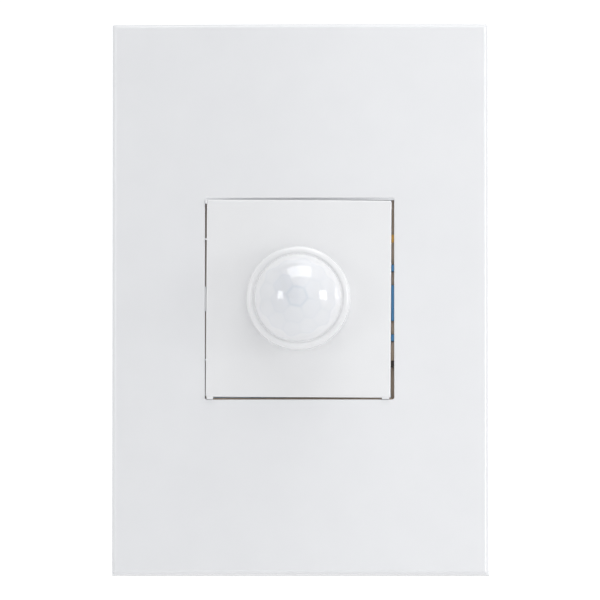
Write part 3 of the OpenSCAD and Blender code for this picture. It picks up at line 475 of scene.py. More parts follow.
def middle(part):
    """The middle of a vertex, edge or face."""
    if isinstance(part, bmesh.types.BMVert):
        return part.co
    return sum((v.co for v in part.verts), Vector()) / len(part.verts)


def pick(piece, kind, wanted):
    """In edit mode, selects the vertices, edges or faces that pass the test."""
    bpy.ops.mesh.select_mode(type=kind)
    bpy.ops.mesh.select_all(action="DESELECT")
    mesh = bmesh.from_edit_mesh(piece.data)
    parts = {"VERT": mesh.verts, "EDGE": mesh.edges, "FACE": mesh.faces}[kind]
    for part in parts:
        if wanted(part):
            part.select_set(True)
    bmesh.update_edit_mesh(piece.data)


def is_sharp(e):
    """Whether two faces meet at an edge at a large angle."""
    return e.calc_face_angle(0) > SHARP_TURN


# %% Starting shapes
ROUND_SIDES = 48


def added(name):
    """The primitive that was just added, named, with its place put into its mesh."""
    piece = bpy.context.object
    focus(piece)
    piece.name = piece.data.name = name
    bpy.ops.object.transform_apply(location=True, rotation=True, scale=True)
    return piece


def block(name, low, high):
    """A box between two corners, as a start."""
    low, high = Vector(low), Vector(high)
    clear()
    bpy.ops.mesh.primitive_cube_add(size=1, location=(low + high) / 2, scale=high - low)
    return added(name)


def rod(name, radius, start, end, sides=ROUND_SIDES):
    """A round bar along Y, as a start."""
    start, end = Vector(start), Vector(end)
    clear()
    bpy.ops.mesh.primitive_cylinder_add(vertices=sides, radius=radius, depth=end.y - start.y,
                                        location=(start + end) / 2, rotation=(math.pi / 2, 0, 0))
    return added(name)


# %% Modifiers and joining
SOFT_TURN = math.radians(35)


def modify(piece, kind, **settings):
    """Adds a modifier with the given settings and applies it."""
    focus(piece)
    bpy.ops.object.modifier_add(type=kind)
    modifier = piece.modifiers[-1]
    for name, value in settings.items():
        setattr(modifier, name, value)
    bpy.ops.object.modifier_apply(modifier=modifier.name)


def soften(piece, width, segments=2):
    """Rounds every edge of the piece that isn't nearly flat."""
    modify(piece, "BEVEL", width=width, segments=segments, limit_method="ANGLE", angle_limit=SOFT_TURN)


def carve(piece, tool, how="DIFFERENCE"):
    """Cuts a tool out of the piece, or joins it on, and deletes the tool."""
    modify(piece, "BOOLEAN", object=tool, operation=how, solver="EXACT")
    bpy.data.objects.remove(tool)


def unite(pieces):
    """Joins loose shells into the first piece."""
    focus(pieces[0])
    for piece in pieces[1:]:
        piece.select_set(True)
    bpy.ops.object.join()
    return pieces[0]


def weld(piece):
    """Merges doubled vertices and turns the faces outwards."""
    edit(piece)
    bpy.ops.mesh.remove_doubles(threshold=WELD)
    bpy.ops.mesh.normals_make_consistent(inside=False)
    bpy.ops.object.mode_set(mode="OBJECT")


# %% Seating a finished piece
SMOOTH_TURN = math.radians(40)
NORMAL_WEIGHT = 90


def dress(piece, body, slot, *nodes):
    """Shades the piece, gives it its finish, and seats it on its body in place of the CAD nodes."""
    focus(piece)
    bpy.ops.object.shade_smooth_by_angle(angle=SMOOTH_TURN)
    modify(piece, "WEIGHTED_NORMAL", weight=NORMAL_WEIGHT, keep_sharp=True)
    piece.data.materials.clear()
    piece.data.materials.append(finishes[slot])
    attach(piece, body)
    for node in nodes:
        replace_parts(piece, node)
    size = [round(s / MM, 2) for s in piece.dimensions]
    print(piece.name, len(piece.data.polygons), "faces,", size, "mm")


# %% [markdown]
# ## The cover plate
# The plate is a thin moulded shell. Its face bows across the width, as part of a large cylinder, and its
# sides lean in a little. A modeller could cut it from a block, but a sheet is closer to the real thing:
# an upright edge is spun about the bow's far axis, trimmed by four leaning planes, pulled back to the
# wall for the sides, and given its wall by Solidify.

# %% The bowed sheet
plate_low, plate_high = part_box("cover_plate")
plate_depth = -plate_low.y
PLATE_BOW = 3.5 * MM
PLATE_LEAN = 0.5 * MM
PLATE_WALL = 2.2 * MM
PLATE_EDGE = 0.9 * MM
FINE_EDGE = 0.3 * MM
BOW_STEPS = 16
SPARE = 2 * MM
bow_radius = (plate_high.x ** 2 + PLATE_BOW ** 2) / (2 * PLATE_BOW)
bow_axis = plate_low.y + bow_radius


def bowed_sheet(name, radius, half_width, half_height):
    """An upright edge at the left, spun to the right about the bow's axis."""
    turn = math.asin(half_width / radius)
    front = bow_axis - radius * math.cos(turn)
    clear()
    bpy.ops.mesh.primitive_plane_add(size=2 * half_height, rotation=(math.pi / 2, 0, 0),
                                     location=(half_height - half_width, front, 0))
    sheet = added(name)
    edit(sheet)
    pick(sheet, "VERT", lambda v: v.co.x > -half_width + half_height)
    bpy.ops.mesh.delete(type="VERT")
    bpy.ops.mesh.select_all(action="SELECT")
    bpy.ops.mesh.spin(steps=BOW_STEPS, angle=2 * turn, center=(0, bow_axis, 0), axis=(0, 0, -1))
    bpy.ops.mesh.select_all(action="SELECT")
    bpy.ops.mesh.remove_doubles(threshold=WELD)
    bpy.ops.mesh.normals_make_consistent(inside=False)
    mesh = bmesh.from_edit_mesh(sheet.data)
    if sum(f.normal.y for f in mesh.faces) > 0:
        bpy.ops.mesh.flip_normals()
    return sheet


def pull_sides(sheet, back):
    """Extrudes the sheet's border and flattens it at the given depth."""
    pick(sheet, "EDGE", lambda e: e.is_boundary)
    bpy.ops.mesh.extrude_edges_move()
    bpy.ops.transform.resize(value=(1, 0, 1), center_override=(0, back, 0))


print("bow radius", round(bow_radius / MM, 1), "mm")

# %% The plate's shell
shell = bowed_sheet("cover_shell", bow_radius, plate_high.x + SPARE, plate_high.z + SPARE)
for side in (-1, 1):
    for co, no in (((side * plate_high.x, 0, 0), (side * plate_depth, -PLATE_LEAN, 0)),
                   ((0, 0, side * plate_high.z), (0, -PLATE_LEAN, side * plate_depth))):
        bpy.ops.mesh.select_all(action="SELECT")
        bpy.ops.mesh.bisect(plane_co=co, plane_no=Vector(no).normalized(), threshold=CUT_LIMIT,
                            clear_outer=True)
pull_sides(shell, 0)
for side in (-1, 1):
    pick(shell, "VERT", lambda v: v.co.y > -PLATE_WALL and side * v.co.x > plate_high.x - 2 * PLATE_LEAN)
    bpy.ops.transform.resize(value=(0, 1, 1), center_override=(side * plate_high.x, 0, 0))
    pick(shell, "VERT", lambda v: v.co.y > -PLATE_WALL and side * v.co.z > plate_high.z - 2 * PLATE_LEAN)
    bpy.ops.transform.resize(value=(1, 1, 0), center_override=(0, 0, side * plate_high.z))
modify(shell, "SOLIDIFY", thickness=PLATE_WALL, offset=-1.0, use_even_offset=True)
edit(shell)
pick(shell, "VERT", lambda v: v.co.y > -PLATE_WALL / 4)
bpy.ops.transform.resize(value=(1, 0, 1), center_override=(0, 0, 0))
print("shell", [round(s / MM, 2) for s in shell.dimensions], "mm")

# %% [markdown]
# The edges round the face are softer than the rest. One Bevel can round both kinds, because each edge
# carries a weight: the face's border has the full radius, and every other sharp edge a third of it.

# %% The plate's edges
EDGE_SEGMENTS = 6


def on_border(e):
    """Whether an edge lies where the face turns into a side."""
    place = middle(e)
    outside = abs(place.x) > plate_high.x - 2 * PLATE_LEAN or abs(place.z) > plate_high.z - 2 * PLATE_LEAN
    return outside and place.y < -plate_depth / 2


pick(shell, "EDGE", lambda e: is_sharp(e) and on_border(e))
bpy.ops.transform.edge_bevelweight(value=1)
pick(shell, "EDGE", lambda e: is_sharp(e) and not on_border(e))
bpy.ops.transform.edge_bevelweight(value=FINE_EDGE / PLATE_EDGE)
modify(shell, "BEVEL", width=PLATE_EDGE, segments=EDGE_SEGMENTS, limit_method="WEIGHT")
print("rounded shell", len(shell.data.polygons), "faces")

# %% [markdown]
# The opening is cut with a block whose corners are rounded, and then its front edge is rounded by hand,
# because it is finer than the plate's outer edge.

# %% The opening
bezel_low, bezel_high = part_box("sensor_bezel")
OPENING_GAP = 0.45 * MM
OPENING_CORNER = 0.5 * MM
OPENING_EDGE = 0.25 * MM
OPENING_SEGMENTS = 3
CORNER_SEGMENTS = 5
EDGE_NEAR = 0.1 * MM
EDGE_DEEP = 1.3 * MM
BEZEL_HALF_WIDTH = 20.0 * MM
opening_x = BEZEL_HALF_WIDTH + OPENING_GAP
opening_z = bezel_high.z + OPENING_GAP


def rounded_window(name, half_width, bottom, top, back, corner):
    """A cutting block with rounded corners, as seen from the room."""
    tool = block(name, (-half_width, 2 * plate_low.y, bottom), (half_width, back, top))
    edit(tool)
    pick(tool, "EDGE", lambda e: abs((e.verts[1].co - e.verts[0].co).y) > half_width / 2)
    bpy.ops.mesh.bevel(offset=corner, segments=CORNER_SEGMENTS, affect="EDGES")
    return tool


def on_opening(e):
    """Whether an edge lies at the front of the opening."""
    place = middle(e)
    inside = abs(place.x) < opening_x + EDGE_NEAR and abs(place.z) < opening_z + EDGE_NEAR
    return inside and place.y < plate_low.y + EDGE_DEEP


carve(shell, rounded_window("opening_tool", opening_x, -opening_z, opening_z, -PLATE_WALL, OPENING_CORNER))
edit(shell)
pick(shell, "EDGE", lambda e: is_sharp(e) and on_opening(e))
bpy.ops.mesh.bevel(offset=OPENING_EDGE, segments=OPENING_SEGMENTS, affect="EDGES", clamp_overlap=False)
bpy.ops.object.mode_set(mode="OBJECT")
print("opening", round(2 * opening_x / MM, 2), "by", round(2 * opening_z / MM, 2), "mm")

# %% [markdown]
# Behind the face are a seat round the opening and four split pegs that push into the support frame. They
# show when the cover is pulled off. The seat's top bar is lower than the opening, so it shows in the gap
# above the module as a pale line.

# %% Seat and pegs
SEAT_WIDTH = 2 * MM
SEAT_BACK = -6.7 * MM
SEAT_DROP = 0.45 * MM
SEAT_SOFT = 0.2 * MM
PEG_RADIUS = 2 * MM
PEG_IN_X = 14 * MM
PEG_IN_Z = 12 * MM
PEG_BACK = -0.6 * MM
PEG_SLIT = 0.8 * MM
PEG_SOFT = 0.25 * MM
peg_x = plate_high.x - PEG_IN_X
peg_z = plate_high.z - PEG_IN_Z

seat = block("opening_seat", (-opening_x - SEAT_WIDTH, plate_low.y + PLATE_WALL / 2, -opening_z - SEAT_WIDTH),
             (opening_x + SEAT_WIDTH, SEAT_BACK, opening_z + SEAT_WIDTH))
carve(seat, rounded_window("seat_tool", opening_x + HAIR, -opening_z - HAIR, opening_z - SEAT_DROP, 0, HAIR))
soften(seat, SEAT_SOFT)

peg = rod("cover_peg", PEG_RADIUS, (peg_x, plate_low.y + PLATE_WALL, peg_z), (peg_x, PEG_BACK, peg_z))
carve(peg, block("slit_tool", (peg_x - 2 * PEG_RADIUS, PEG_BACK - 2 * PEG_RADIUS, peg_z - PEG_SLIT / 2),
                 (peg_x + 2 * PEG_RADIUS, PEG_BACK + PEG_RADIUS, peg_z + PEG_SLIT / 2)))
soften(peg, PEG_SOFT)
pegs = [peg]
for side, up in ((-1, 1), (1, -1), (-1, -1)):
    focus(peg)
    bpy.ops.object.duplicate()
    bpy.ops.transform.translate(value=((side - 1) * peg_x, 0, (up - 1) * peg_z))
    bpy.ops.object.transform_apply(location=True)
    pegs.append(bpy.context.object)
cover = unite([shell, seat, *pegs])
dress(cover, "cover", "cover_white", "cover_plate")

# %% [markdown]
# ## The sensor bezel
# The square face follows the plate's bow and stands a hair proud of it. Its round collar is a turned
# ring with a round rim, and a lip inside that nearly touches the lens, so a soft groove lies between them.
# The collar is joined to the face so that the corner between them can be filleted.

# %% The bezel's face
BEZEL_PROUD = 0.2 * MM
BEZEL_WALL = 1.5 * MM
BEZEL_EDGE = 0.35 * MM
BEZEL_SEGMENTS = 4
SKIRT_BACK = -6.8 * MM
bezel_front = plate_low.y - BEZEL_PROUD
face = bowed_sheet("bezel_face", bow_radius + BEZEL_PROUD, BEZEL_HALF_WIDTH, bezel_high.z)
pull_sides(face, SKIRT_BACK)
modify(face, "SOLIDIFY", thickness=BEZEL_WALL, offset=-1.0, use_even_offset=True)
soften(face, BEZEL_EDGE, BEZEL_SEGMENTS)
print("bezel face", [round(s / MM, 2) for s in face.dimensions], "mm")

# %% The collar
COLLAR_OUTER = 11.15 * MM
COLLAR_INNER = 9.8 * MM
COLLAR_TOP = bezel_low.y
COLLAR_ROOT = bezel_front + BEZEL_WALL / 2
LIP_INNER = 9.48 * MM
LIP_DEPTH = 0.10 * MM
LIP_ROUND = 0.05 * MM
RIM_OUTER = 1.15 * MM
RIM_INNER = 0.12 * MM
RIM_SEGMENTS = 8
TURNED_SIDES = 144


def turned(name, inner, outer, front, back, outer_round, inner_round):
    """A rectangle beside the Y axis, with its two front corners rounded, spun about that axis."""
    clear()
    bpy.ops.mesh.primitive_plane_add(size=1, location=((inner + outer) / 2, (front + back) / 2, 0))
    bpy.context.object.scale = (outer - inner, back - front, 1)
    ring = added(name)
    edit(ring)
    for corner, offset in ((outer, outer_round), (inner, inner_round)):
        pick(ring, "VERT", lambda v: (v.co - Vector((corner, front, 0))).length < HAIR)
        bpy.ops.mesh.bevel(offset=offset, segments=RIM_SEGMENTS, affect="VERTICES")
    bpy.ops.mesh.select_all(action="SELECT")
    bpy.ops.mesh.delete(type="ONLY_FACE")
    bpy.ops.mesh.select_all(action="SELECT")
    bpy.ops.mesh.spin(steps=TURNED_SIDES, angle=2 * math.pi, center=(0, 0, 0), axis=(0, 1, 0),
                      use_auto_merge=True)
    weld(ring)
    return ring


collar = turned("collar", COLLAR_INNER, COLLAR_OUTER, COLLAR_TOP, COLLAR_ROOT, RIM_OUTER, RIM_INNER)
lip_front = COLLAR_TOP + LIP_DEPTH
carve(collar, turned("collar_lip", LIP_INNER, COLLAR_INNER + LIP_ROUND, lip_front, lip_front + 4 * LIP_DEPTH,
                     LIP_ROUND, LIP_ROUND), "UNION")
hole_radius = (COLLAR_INNER + COLLAR_OUTER) / 2
carve(face, rod("lens_hole_tool", hole_radius, (0, 2 * COLLAR_TOP, 0), (0, 0, 0), TURNED_SIDES))
carve(face, collar, "UNION")
print("collar", round(2 * COLLAR_OUTER / MM, 2), "mm across")

# %% The collar's foot
COLLAR_FILLET = 0.12 * MM
FILLET_SEGMENTS = 4
FOOT_FRONT = 0.1 * MM
FOOT_BACK = 0.6 * MM
FOOT_RISE = 0.2 * MM


def on_foot(e):
    """Whether an edge runs round the collar where it meets the bowed face."""
    place = middle(e)
    at_collar = abs(math.hypot(place.x, place.z) - COLLAR_OUTER) < HAIR
    at_face = bezel_front - FOOT_FRONT < place.y < bezel_front + FOOT_BACK
    return at_collar and at_face and abs((e.verts[1].co - e.verts[0].co).y) < FOOT_RISE


edit(face)
pick(face, "EDGE", lambda e: is_sharp(e) and on_foot(e))
bpy.ops.mesh.bevel(offset=COLLAR_FILLET, segments=FILLET_SEGMENTS, affect="EDGES", clamp_overlap=False)
bpy.ops.object.mode_set(mode="OBJECT")
print("fillet", round(COLLAR_FILLET / MM, 2), "mm")

# %% [markdown]
# A module that snaps in never sits quite square. In the photograph it is turned by a third of a degree and
# lies a little to the left, so the gap round it isn't even. The face and the lens get the same small move.

# %% How the module sits
MODULE_TURN = math.radians(0.35)
MODULE_SHIFT = -0.2 * MM


def settle(piece):
    """Turns and moves a piece of the module to the way it sits in its opening."""
    edit(piece)
    bpy.ops.transform.rotate(value=-MODULE_TURN, orient_axis="Y", center_override=(0, 0, 0))
    bpy.ops.transform.translate(value=(MODULE_SHIFT, 0, 0))
    bpy.ops.object.mode_set(mode="OBJECT")


settle(face)
print("module turned", round(math.degrees(MODULE_TURN), 2), "degrees")

# %% [markdown]
# On the bezel's left is a fixed hook that reaches over the support frame's rail, and at its top and
# bottom are four snap arms that catch in the rear housing. Each is a stem and a hook joined together.
# A thin white wall on the hook and five small ribs centre the module, and they show in the gap.

# %% A wall in the gap
GAP_CLEAR = 0.04 * MM
NOSE_FRONT = -7.7 * MM
NOSE_BACK = -5.0 * MM
HOOK_WALL_FRONT = -9.2 * MM
lean = math.sin(MODULE_TURN)


def upright(name, side, bottom, top, front=NOSE_FRONT):
    """A thin wall in the gap at the left or the right, between two heights."""
    near = BEZEL_HALF_WIDTH + side * MODULE_SHIFT + max(side * bottom, side * top) * lean + GAP_CLEAR
    ends = sorted((side * near, side * (opening_x - GAP_CLEAR)))
    made = block(name, (ends[0], front, bottom), (ends[1], NOSE_BACK, top))
    soften(made, GAP_CLEAR)
    return made


print("a wall in the gap reaches", round(-NOSE_FRONT / MM, 1), "mm from the room's wall")

# %% Hook and snap arms
HOOK_FRONT = -6.55 * MM
HOOK_BACK = -5.15 * MM
HOOK_HALF = 2.65 * MM
ARM_X = 8 * MM
ARM_HALF = 2.5 * MM
ARM_WALL = 1.2 * MM
ARM_HOOK = 0.9 * MM
ARM_HOOK_LENGTH = 1.4 * MM
ARM_TOP = 19.35 * MM
HOOK_SOFT = 0.12 * MM
arm_back = bezel_high.y
inner_x = BEZEL_HALF_WIDTH - BEZEL_WALL


def hooked(name, stem, hook):
    """A stem and a hook, each given by two corners, joined and softened."""
    made = block(name, *stem)
    carve(made, block(name + "_tip", *hook), "UNION")
    soften(made, HOOK_SOFT)
    return made


stem_front = bezel_front + BEZEL_WALL
hooks = [hooked("side_hook",
                ((-BEZEL_HALF_WIDTH + HAIR, stem_front, -HOOK_HALF), (-inner_x, HOOK_BACK, HOOK_HALF)),
                ((bezel_low.x, HOOK_FRONT, -HOOK_HALF), (-inner_x - HAIR, HOOK_BACK - HAIR, HOOK_HALF)))]
for side in (-1, 1):
    for up in (-1, 1):
        ends = sorted((up * (ARM_TOP - ARM_WALL), up * ARM_TOP))
        tips = sorted((up * (ARM_TOP - ARM_WALL / 2), up * (ARM_TOP + ARM_HOOK)))
        left, right = side * ARM_X - ARM_HALF, side * ARM_X + ARM_HALF
        stem = ((left, stem_front - HAIR, ends[0]), (right, arm_back, ends[1]))
        tip = ((left + HAIR, arm_back - ARM_HOOK_LENGTH, tips[0]), (right - HAIR, arm_back - HAIR, tips[1]))
        hooks.append(hooked("snap_arm", stem, tip))
hooks.append(upright("hook_wall", -1, -HOOK_HALF, HOOK_HALF, HOOK_WALL_FRONT))
print(len(hooks), "hooks, arms and walls")

# %% Centring ribs
RIB_FRONT = -9.7 * MM
RIB_BACK = -7.0 * MM
RIB_HALF = 0.17 * MM
SIDE_RIBS = (12.9 * MM, -13.2 * MM)
CORNER_RIB = 20.6 * MM
LEFT_FOOT = (-20.1 * MM, -18.7 * MM)
LEFT_FOOT_IN = 0.3 * MM
RIGHT_FOOT = (17.8 * MM, 19.4 * MM)
rib_x, rib_z = GAP_CLEAR - opening_x, GAP_CLEAR - opening_z

ribs = [((rib_x, height - RIB_HALF), (-BEZEL_HALF_WIDTH, height + RIB_HALF)) for height in SIDE_RIBS]
ribs += [((rib_x, CORNER_RIB), (-BEZEL_HALF_WIDTH, bezel_high.z + RIB_HALF)),
         ((LEFT_FOOT[0], rib_z), (LEFT_FOOT[1], LEFT_FOOT_IN - bezel_high.z)),
         ((RIGHT_FOOT[0], rib_z), (RIGHT_FOOT[1], -bezel_high.z))]
for low, high in ribs:
    rib = block("centring_rib", (low[0], RIB_FRONT, low[1]), (high[0], RIB_BACK, high[1]))
    soften(rib, GAP_CLEAR)
    hooks.append(rib)
bezel = unite([face, *hooks])
dress(bezel, "switch", "bezel_white", "sensor_bezel")

# %% [markdown]
# ## The lens
# The dome is half a ball on a short skirt with a flange. A ball primitive with its pole towards the room
# is cut in half, the cut edge is pulled back for the skirt and the flange, and Solidify makes the wall.

# %% The dome
lens_low, lens_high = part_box("dome_lens")
LENS_RADIUS = 9.7 * MM
LENS_WALL = 0.8 * MM
FLANGE_DEPTH = 0.8 * MM
DOME_SEGMENTS = 192
DOME_RINGS = 160
flange_radius = lens_high.x
dome_middle = lens_low.y + LENS_RADIUS
clear()
bpy.ops.mesh.primitive_uv_sphere_add(segments=DOME_SEGMENTS, ring_count=DOME_RINGS, radius=LENS_RADIUS,
                                     location=(0, dome_middle, 0), rotation=(math.pi / 2, 0, 0))
lens = added("milky_dome")
edit(lens)
bpy.ops.mesh.bisect(plane_co=(0, dome_middle, 0), plane_no=(0, 1, 0), threshold=CUT_LIMIT, clear_outer=True)
flange_front = lens_high.y - FLANGE_DEPTH
for back, radius in ((flange_front, LENS_RADIUS), (flange_front, flange_radius),
                     (lens_high.y, flange_radius)):
    pick(lens, "EDGE", lambda e: e.is_boundary)
    bpy.ops.mesh.extrude_edges_move()
    mesh = bmesh.from_edit_mesh(lens.data)
    rim = next(v for v in mesh.verts if v.select)
    grow = radius / math.hypot(rim.co.x, rim.co.z)
    bpy.ops.transform.resize(value=(grow, 0, grow), center_override=(0, back, 0))
bpy.ops.mesh.select_all(action="SELECT")
bpy.ops.mesh.normals_make_consistent(inside=False)
bpy.ops.object.mode_set(mode="OBJECT")
print("dome", [round(s / MM, 2) for s in lens.dimensions], "mm")

# %% [markdown]
# The cells follow a honeycomb: one in the middle, six round it and twelve outside them, and the outermost
# end in a scalloped edge. Each vertex finds its nearest cell, and how near it is to the joint with the next.
# Each cell also gets painted light and shade: darkest in the middle and lightest past the scallops.

# %% The cells
CELL_PITCH = 4.1 * MM
CELL_TURN = math.radians(20)
CELL_RINGS = ((6, 1.0), (12, 1.75))
# The painted light of the middle cell, the six round it, and all the outer ones.
CELL_PAINTED_LIGHT = (0.02, 0.42, 0.48, 0.10, 0.30, 0.42, 0.38, 0.60)
JOINT_WIDTH = 0.6 * MM
JOINT_NEAR = 0.70
JOINT_FAR = 0.10
JOINT_REACH = 2.6 * MM
cells = [Vector((0, 0))]
for count, reach in CELL_RINGS:
    for i in range(count):
        turn = CELL_TURN + 2 * math.pi * i / count
        cells.append(Vector((math.cos(turn), math.sin(turn))) * reach * CELL_PITCH)
print(len(cells), "cells")

# %% Joints and scalloped edge
SCALLOP_RADIUS = 8.05 * MM
SCALLOP_PAIRS = 6
SCALLOP_DEPTH = 0.28 * MM
SCALLOP_UNEVEN = 0.15 * MM
SCALLOP_SOFT = 0.3 * MM
SCALLOP_LINE = 0.2


def smooth_step(t):
    """A soft step from 0 to 1 round t = 0, one unit wide."""
    t = min(1.0, max(0.0, t + 0.5))
    return t * t * (3 - 2 * t)


def cell_marks(x, z):
    """How clear of a joint a place is, from 0 to 1, and how much painted light its cell has."""
    place = Vector((x, z))
    near = sorted(((place - c).length, i) for i, c in enumerate(cells))[:2]
    nearest = near[0][1]
    wave = SCALLOP_PAIRS * (math.atan2(z, x) - CELL_TURN)
    scallop = SCALLOP_RADIUS + SCALLOP_UNEVEN * math.cos(wave) + SCALLOP_DEPTH * math.cos(2 * wave)
    past = (place.length - scallop) / SCALLOP_SOFT
    edge = smooth_step(past)
    joint = (near[1][0] - near[0][0]) / JOINT_WIDTH
    faint = (JOINT_FAR + JOINT_NEAR * math.exp(-(place.length / JOINT_REACH) ** 4)) * (1 - edge)
    line = max(faint * math.exp(-joint * joint), SCALLOP_LINE * math.exp(-4 * past * past))
    # Painted light and shade: the cell's own level, rising to full light past the scalloped edge.
    pale = CELL_PAINTED_LIGHT[min(nearest, len(CELL_PAINTED_LIGHT) - 1)]
    return 1 - line, pale + (1 - pale) * edge


lens_marks = [cell_marks(v.co.x, v.co.z) if v.co.y < dome_middle else (1.0, 1.0) for v in lens.data.vertices]
for name, values in zip(("cell", "cell_painted_light"), zip(*lens_marks)):
    lens.data.attributes.new(name, "FLOAT", "POINT").data.foreach_set("value", values)
modify(lens, "SOLIDIFY", thickness=LENS_WALL, offset=-1.0)
settle(lens)
dress(lens, "switch", "lens_milk", "dome_lens")

# %% [markdown]
# ## Softened copies
# Many pieces already have the right shape in the solids, and only their edges are too sharp. A copy of the
# node is merged, its flat faces are joined up, and every sharp edge is rounded by what its mould or press
# would leave.

# %% Softened pieces
FLAT_TURN = math.radians(0.5)
WHEEL_SOFT = 0.08 * MM
CLAMP_SOFT = 0.15 * MM
SCREW_SOFT = 0.12 * MM


def softened_copy(node, name, width):
    """A merged copy of a CAD node with rounded edges."""
    focus(frame["nodes"][node])
    bpy.ops.object.duplicate()
    piece = bpy.context.object
    piece.name = piece.data.name = name
    piece.parent = None
    for key in list(piece.keys()):
        del piece[key]
    edit(piece)
    bpy.ops.mesh.remove_doubles(threshold=WELD)
    bpy.ops.mesh.dissolve_limited(angle_limit=FLAT_TURN)
    bpy.ops.object.mode_set(mode="OBJECT")
    soften(piece, width)
    return piece


for node, name, body, slot, width in (
        ("time_wheel", "time_thumbwheel", "time_wheel", "wheel_orange", WHEEL_SOFT),
        ("light_wheel", "light_thumbwheel", "light_wheel", "wheel_dark", WHEEL_SOFT),
        ("line_terminal", "line_clamp_body", "switch", "terminal_grey", CLAMP_SOFT),
        ("neutral_terminal", "neutral_clamp_body", "switch", "terminal_grey", CLAMP_SOFT),
        ("load_terminal", "load_clamp_body", "switch", "terminal_grey", CLAMP_SOFT),
        ("line_screw", "line_clamp_screw", "line_screw", "screw_steel", SCREW_SOFT),
        ("neutral_screw", "neutral_clamp_screw", "neutral_screw", "screw_steel", SCREW_SOFT),
        ("load_screw", "load_clamp_screw", "load_screw", "screw_steel", SCREW_SOFT)):
    dress(softened_copy(node, name, width), body, slot, node)

# %% [markdown]
# ## What the gap shows
# In the photograph the narrow gap round the module isn't black. It shows the taupe edge of the support
# frame, an orange and a dark spot beside the two thumbwheels, and the blue latch with its guides. They lie
# close under the plate's face, so the frame gets a thin lip that stands up into the gap, with breaks for
# the hook, the latch and the guides. The latch gets a nose, and a notched index in each wheel's colour
# fills the lip's break beside that wheel.

# %% The frame's lips
LATCH_FRONT = -8.5 * MM
INDEX_FRONT = -8.1 * MM
LOW_FRONT = -7.1 * MM
LATCH_Z = -0.9 * MM
LATCH_HALF = 3.85 * MM
GUIDE_IN = 6.85 * MM
GUIDE_OUT = 8.25 * MM
BREAK = 0.1 * MM
TIME_INDEX = (12.2 * MM, 13.9 * MM)
LIGHT_INDEX = (-14.8 * MM, -13.4 * MM)
LEFT_BREAK = -12 * MM
LEFT_TOP = 20.5 * MM
FRAME_SOFT = 0.2 * MM
lip_top = bezel_high.z
lip_bottom = GAP_CLEAR - opening_z

chassis = softened_copy("support_frame", "support_chassis", FRAME_SOFT)
spans = ((lip_bottom, LIGHT_INDEX[0]), (LIGHT_INDEX[1], LATCH_Z - GUIDE_OUT - BREAK),
         (LATCH_Z - GUIDE_IN + BREAK, LATCH_Z - LATCH_HALF - BREAK),
         (LATCH_Z + LATCH_HALF + BREAK, LATCH_Z + GUIDE_IN - BREAK),
         (LATCH_Z + GUIDE_OUT + BREAK, TIME_INDEX[0]), (TIME_INDEX[1], lip_top))
lips = [upright("frame_lip", 1, *spans[0], LOW_FRONT)]
lips += [upright("frame_lip", 1, *span) for span in spans[1:]]
for *span, front in ((lip_bottom, LEFT_BREAK, LATCH_FRONT), (LEFT_BREAK, -HOOK_HALF - BREAK, LATCH_FRONT),
                     (HOOK_HALF + BREAK, LEFT_TOP, INDEX_FRONT)):
    lips.append(upright("frame_lip", -1, *span, front))
bottom_lip = block("frame_lip", (-BEZEL_HALF_WIDTH, LATCH_FRONT, lip_bottom),
                   (BEZEL_HALF_WIDTH, NOSE_BACK, -bezel_high.z - BEZEL_HALF_WIDTH * lean - GAP_CLEAR))
soften(bottom_lip, GAP_CLEAR)
chassis = unite([chassis, *lips, bottom_lip])
dress(chassis, "switch", "frame_taupe", "support_frame")

# %% Indexes beside the wheels
for name, ends, slot in (("time_index", TIME_INDEX, "wheel_orange"),
                         ("light_index", LIGHT_INDEX, "wheel_dark")):
    index = upright(name, 1, *ends, INDEX_FRONT)
    notch = sum(ends) / 2
    carve(index, block("notch_tool", (0, 2 * INDEX_FRONT, notch - BREAK),
                       (2 * opening_x, INDEX_FRONT + BREAK, notch + BREAK)))
    dress(index, "switch", slot)

# %% [markdown]
# ## The rear case
# The blue case is the housing's solid with soft edges and the latch's noses. On its back are moulded
# marks for the three terminals: L and N, and the sign of a lamp for the switched wire. A raised border
# leaves room for a rating label, which stays bare.

# %% Marks for the terminals
MARK_HEIGHT = 3.2 * MM
MARK_RELIEF = 0.3 * MM
MARK_Z = -10.6 * MM
LETTER_SIZE = 1.4 * MARK_HEIGHT
STROKE = 0.45 * MM
case_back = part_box("rear_housing")[1].y
poles = {name: sum(v.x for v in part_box(name + "_terminal")) / 2 for name in ("line", "neutral", "load")}


def raised_letter(letter, x):
    """A letter that stands on the case's back and reads from behind."""
    clear()
    bpy.ops.object.text_add(location=(x, case_back - HAIR, MARK_Z), rotation=(math.pi / 2, 0, math.pi))
    words = bpy.context.object
    words.data.body = letter
    words.data.size = LETTER_SIZE
    words.data.align_x, words.data.align_y = "CENTER", "CENTER"
    words.data.extrude = MARK_RELIEF
    bpy.ops.object.convert(target="MESH")
    return added("mark_" + letter)


def raised_lamp(x):
    """The sign of a lamp, a ring with a cross, that stands on the case's back."""
    radius = MARK_HEIGHT / 2
    bar = (2 * radius - STROKE, MARK_RELIEF, STROKE)
    ring = rod("mark_ring", radius, (x, case_back - HAIR, MARK_Z), (x, case_back + MARK_RELIEF, MARK_Z))
    carve(ring, rod("ring_tool", radius - STROKE, (x, 0, MARK_Z), (x, 2 * case_back, MARK_Z)))
    sign = [ring]
    for turn in (math.pi / 4, -math.pi / 4):
        clear()
        bpy.ops.mesh.primitive_cube_add(size=1, location=(x, case_back + MARK_RELIEF / 2 - HAIR, MARK_Z),
                                        rotation=(0, turn, 0), scale=bar)
        sign.append(added("mark_bar"))
    return sign


signs = [raised_letter("L", poles["line"]), raised_letter("N", poles["neutral"]), *raised_lamp(poles["load"])]
print(len(signs), "raised pieces for the signs")

# %% Rear case with its border
CASE_SOFT = 0.2 * MM
BORDER_SOFT = 0.1 * MM
LABEL_LOW = Vector((-14, 0, -5.5)) * MM
LABEL_HIGH = Vector((14, 0, 14.5)) * MM

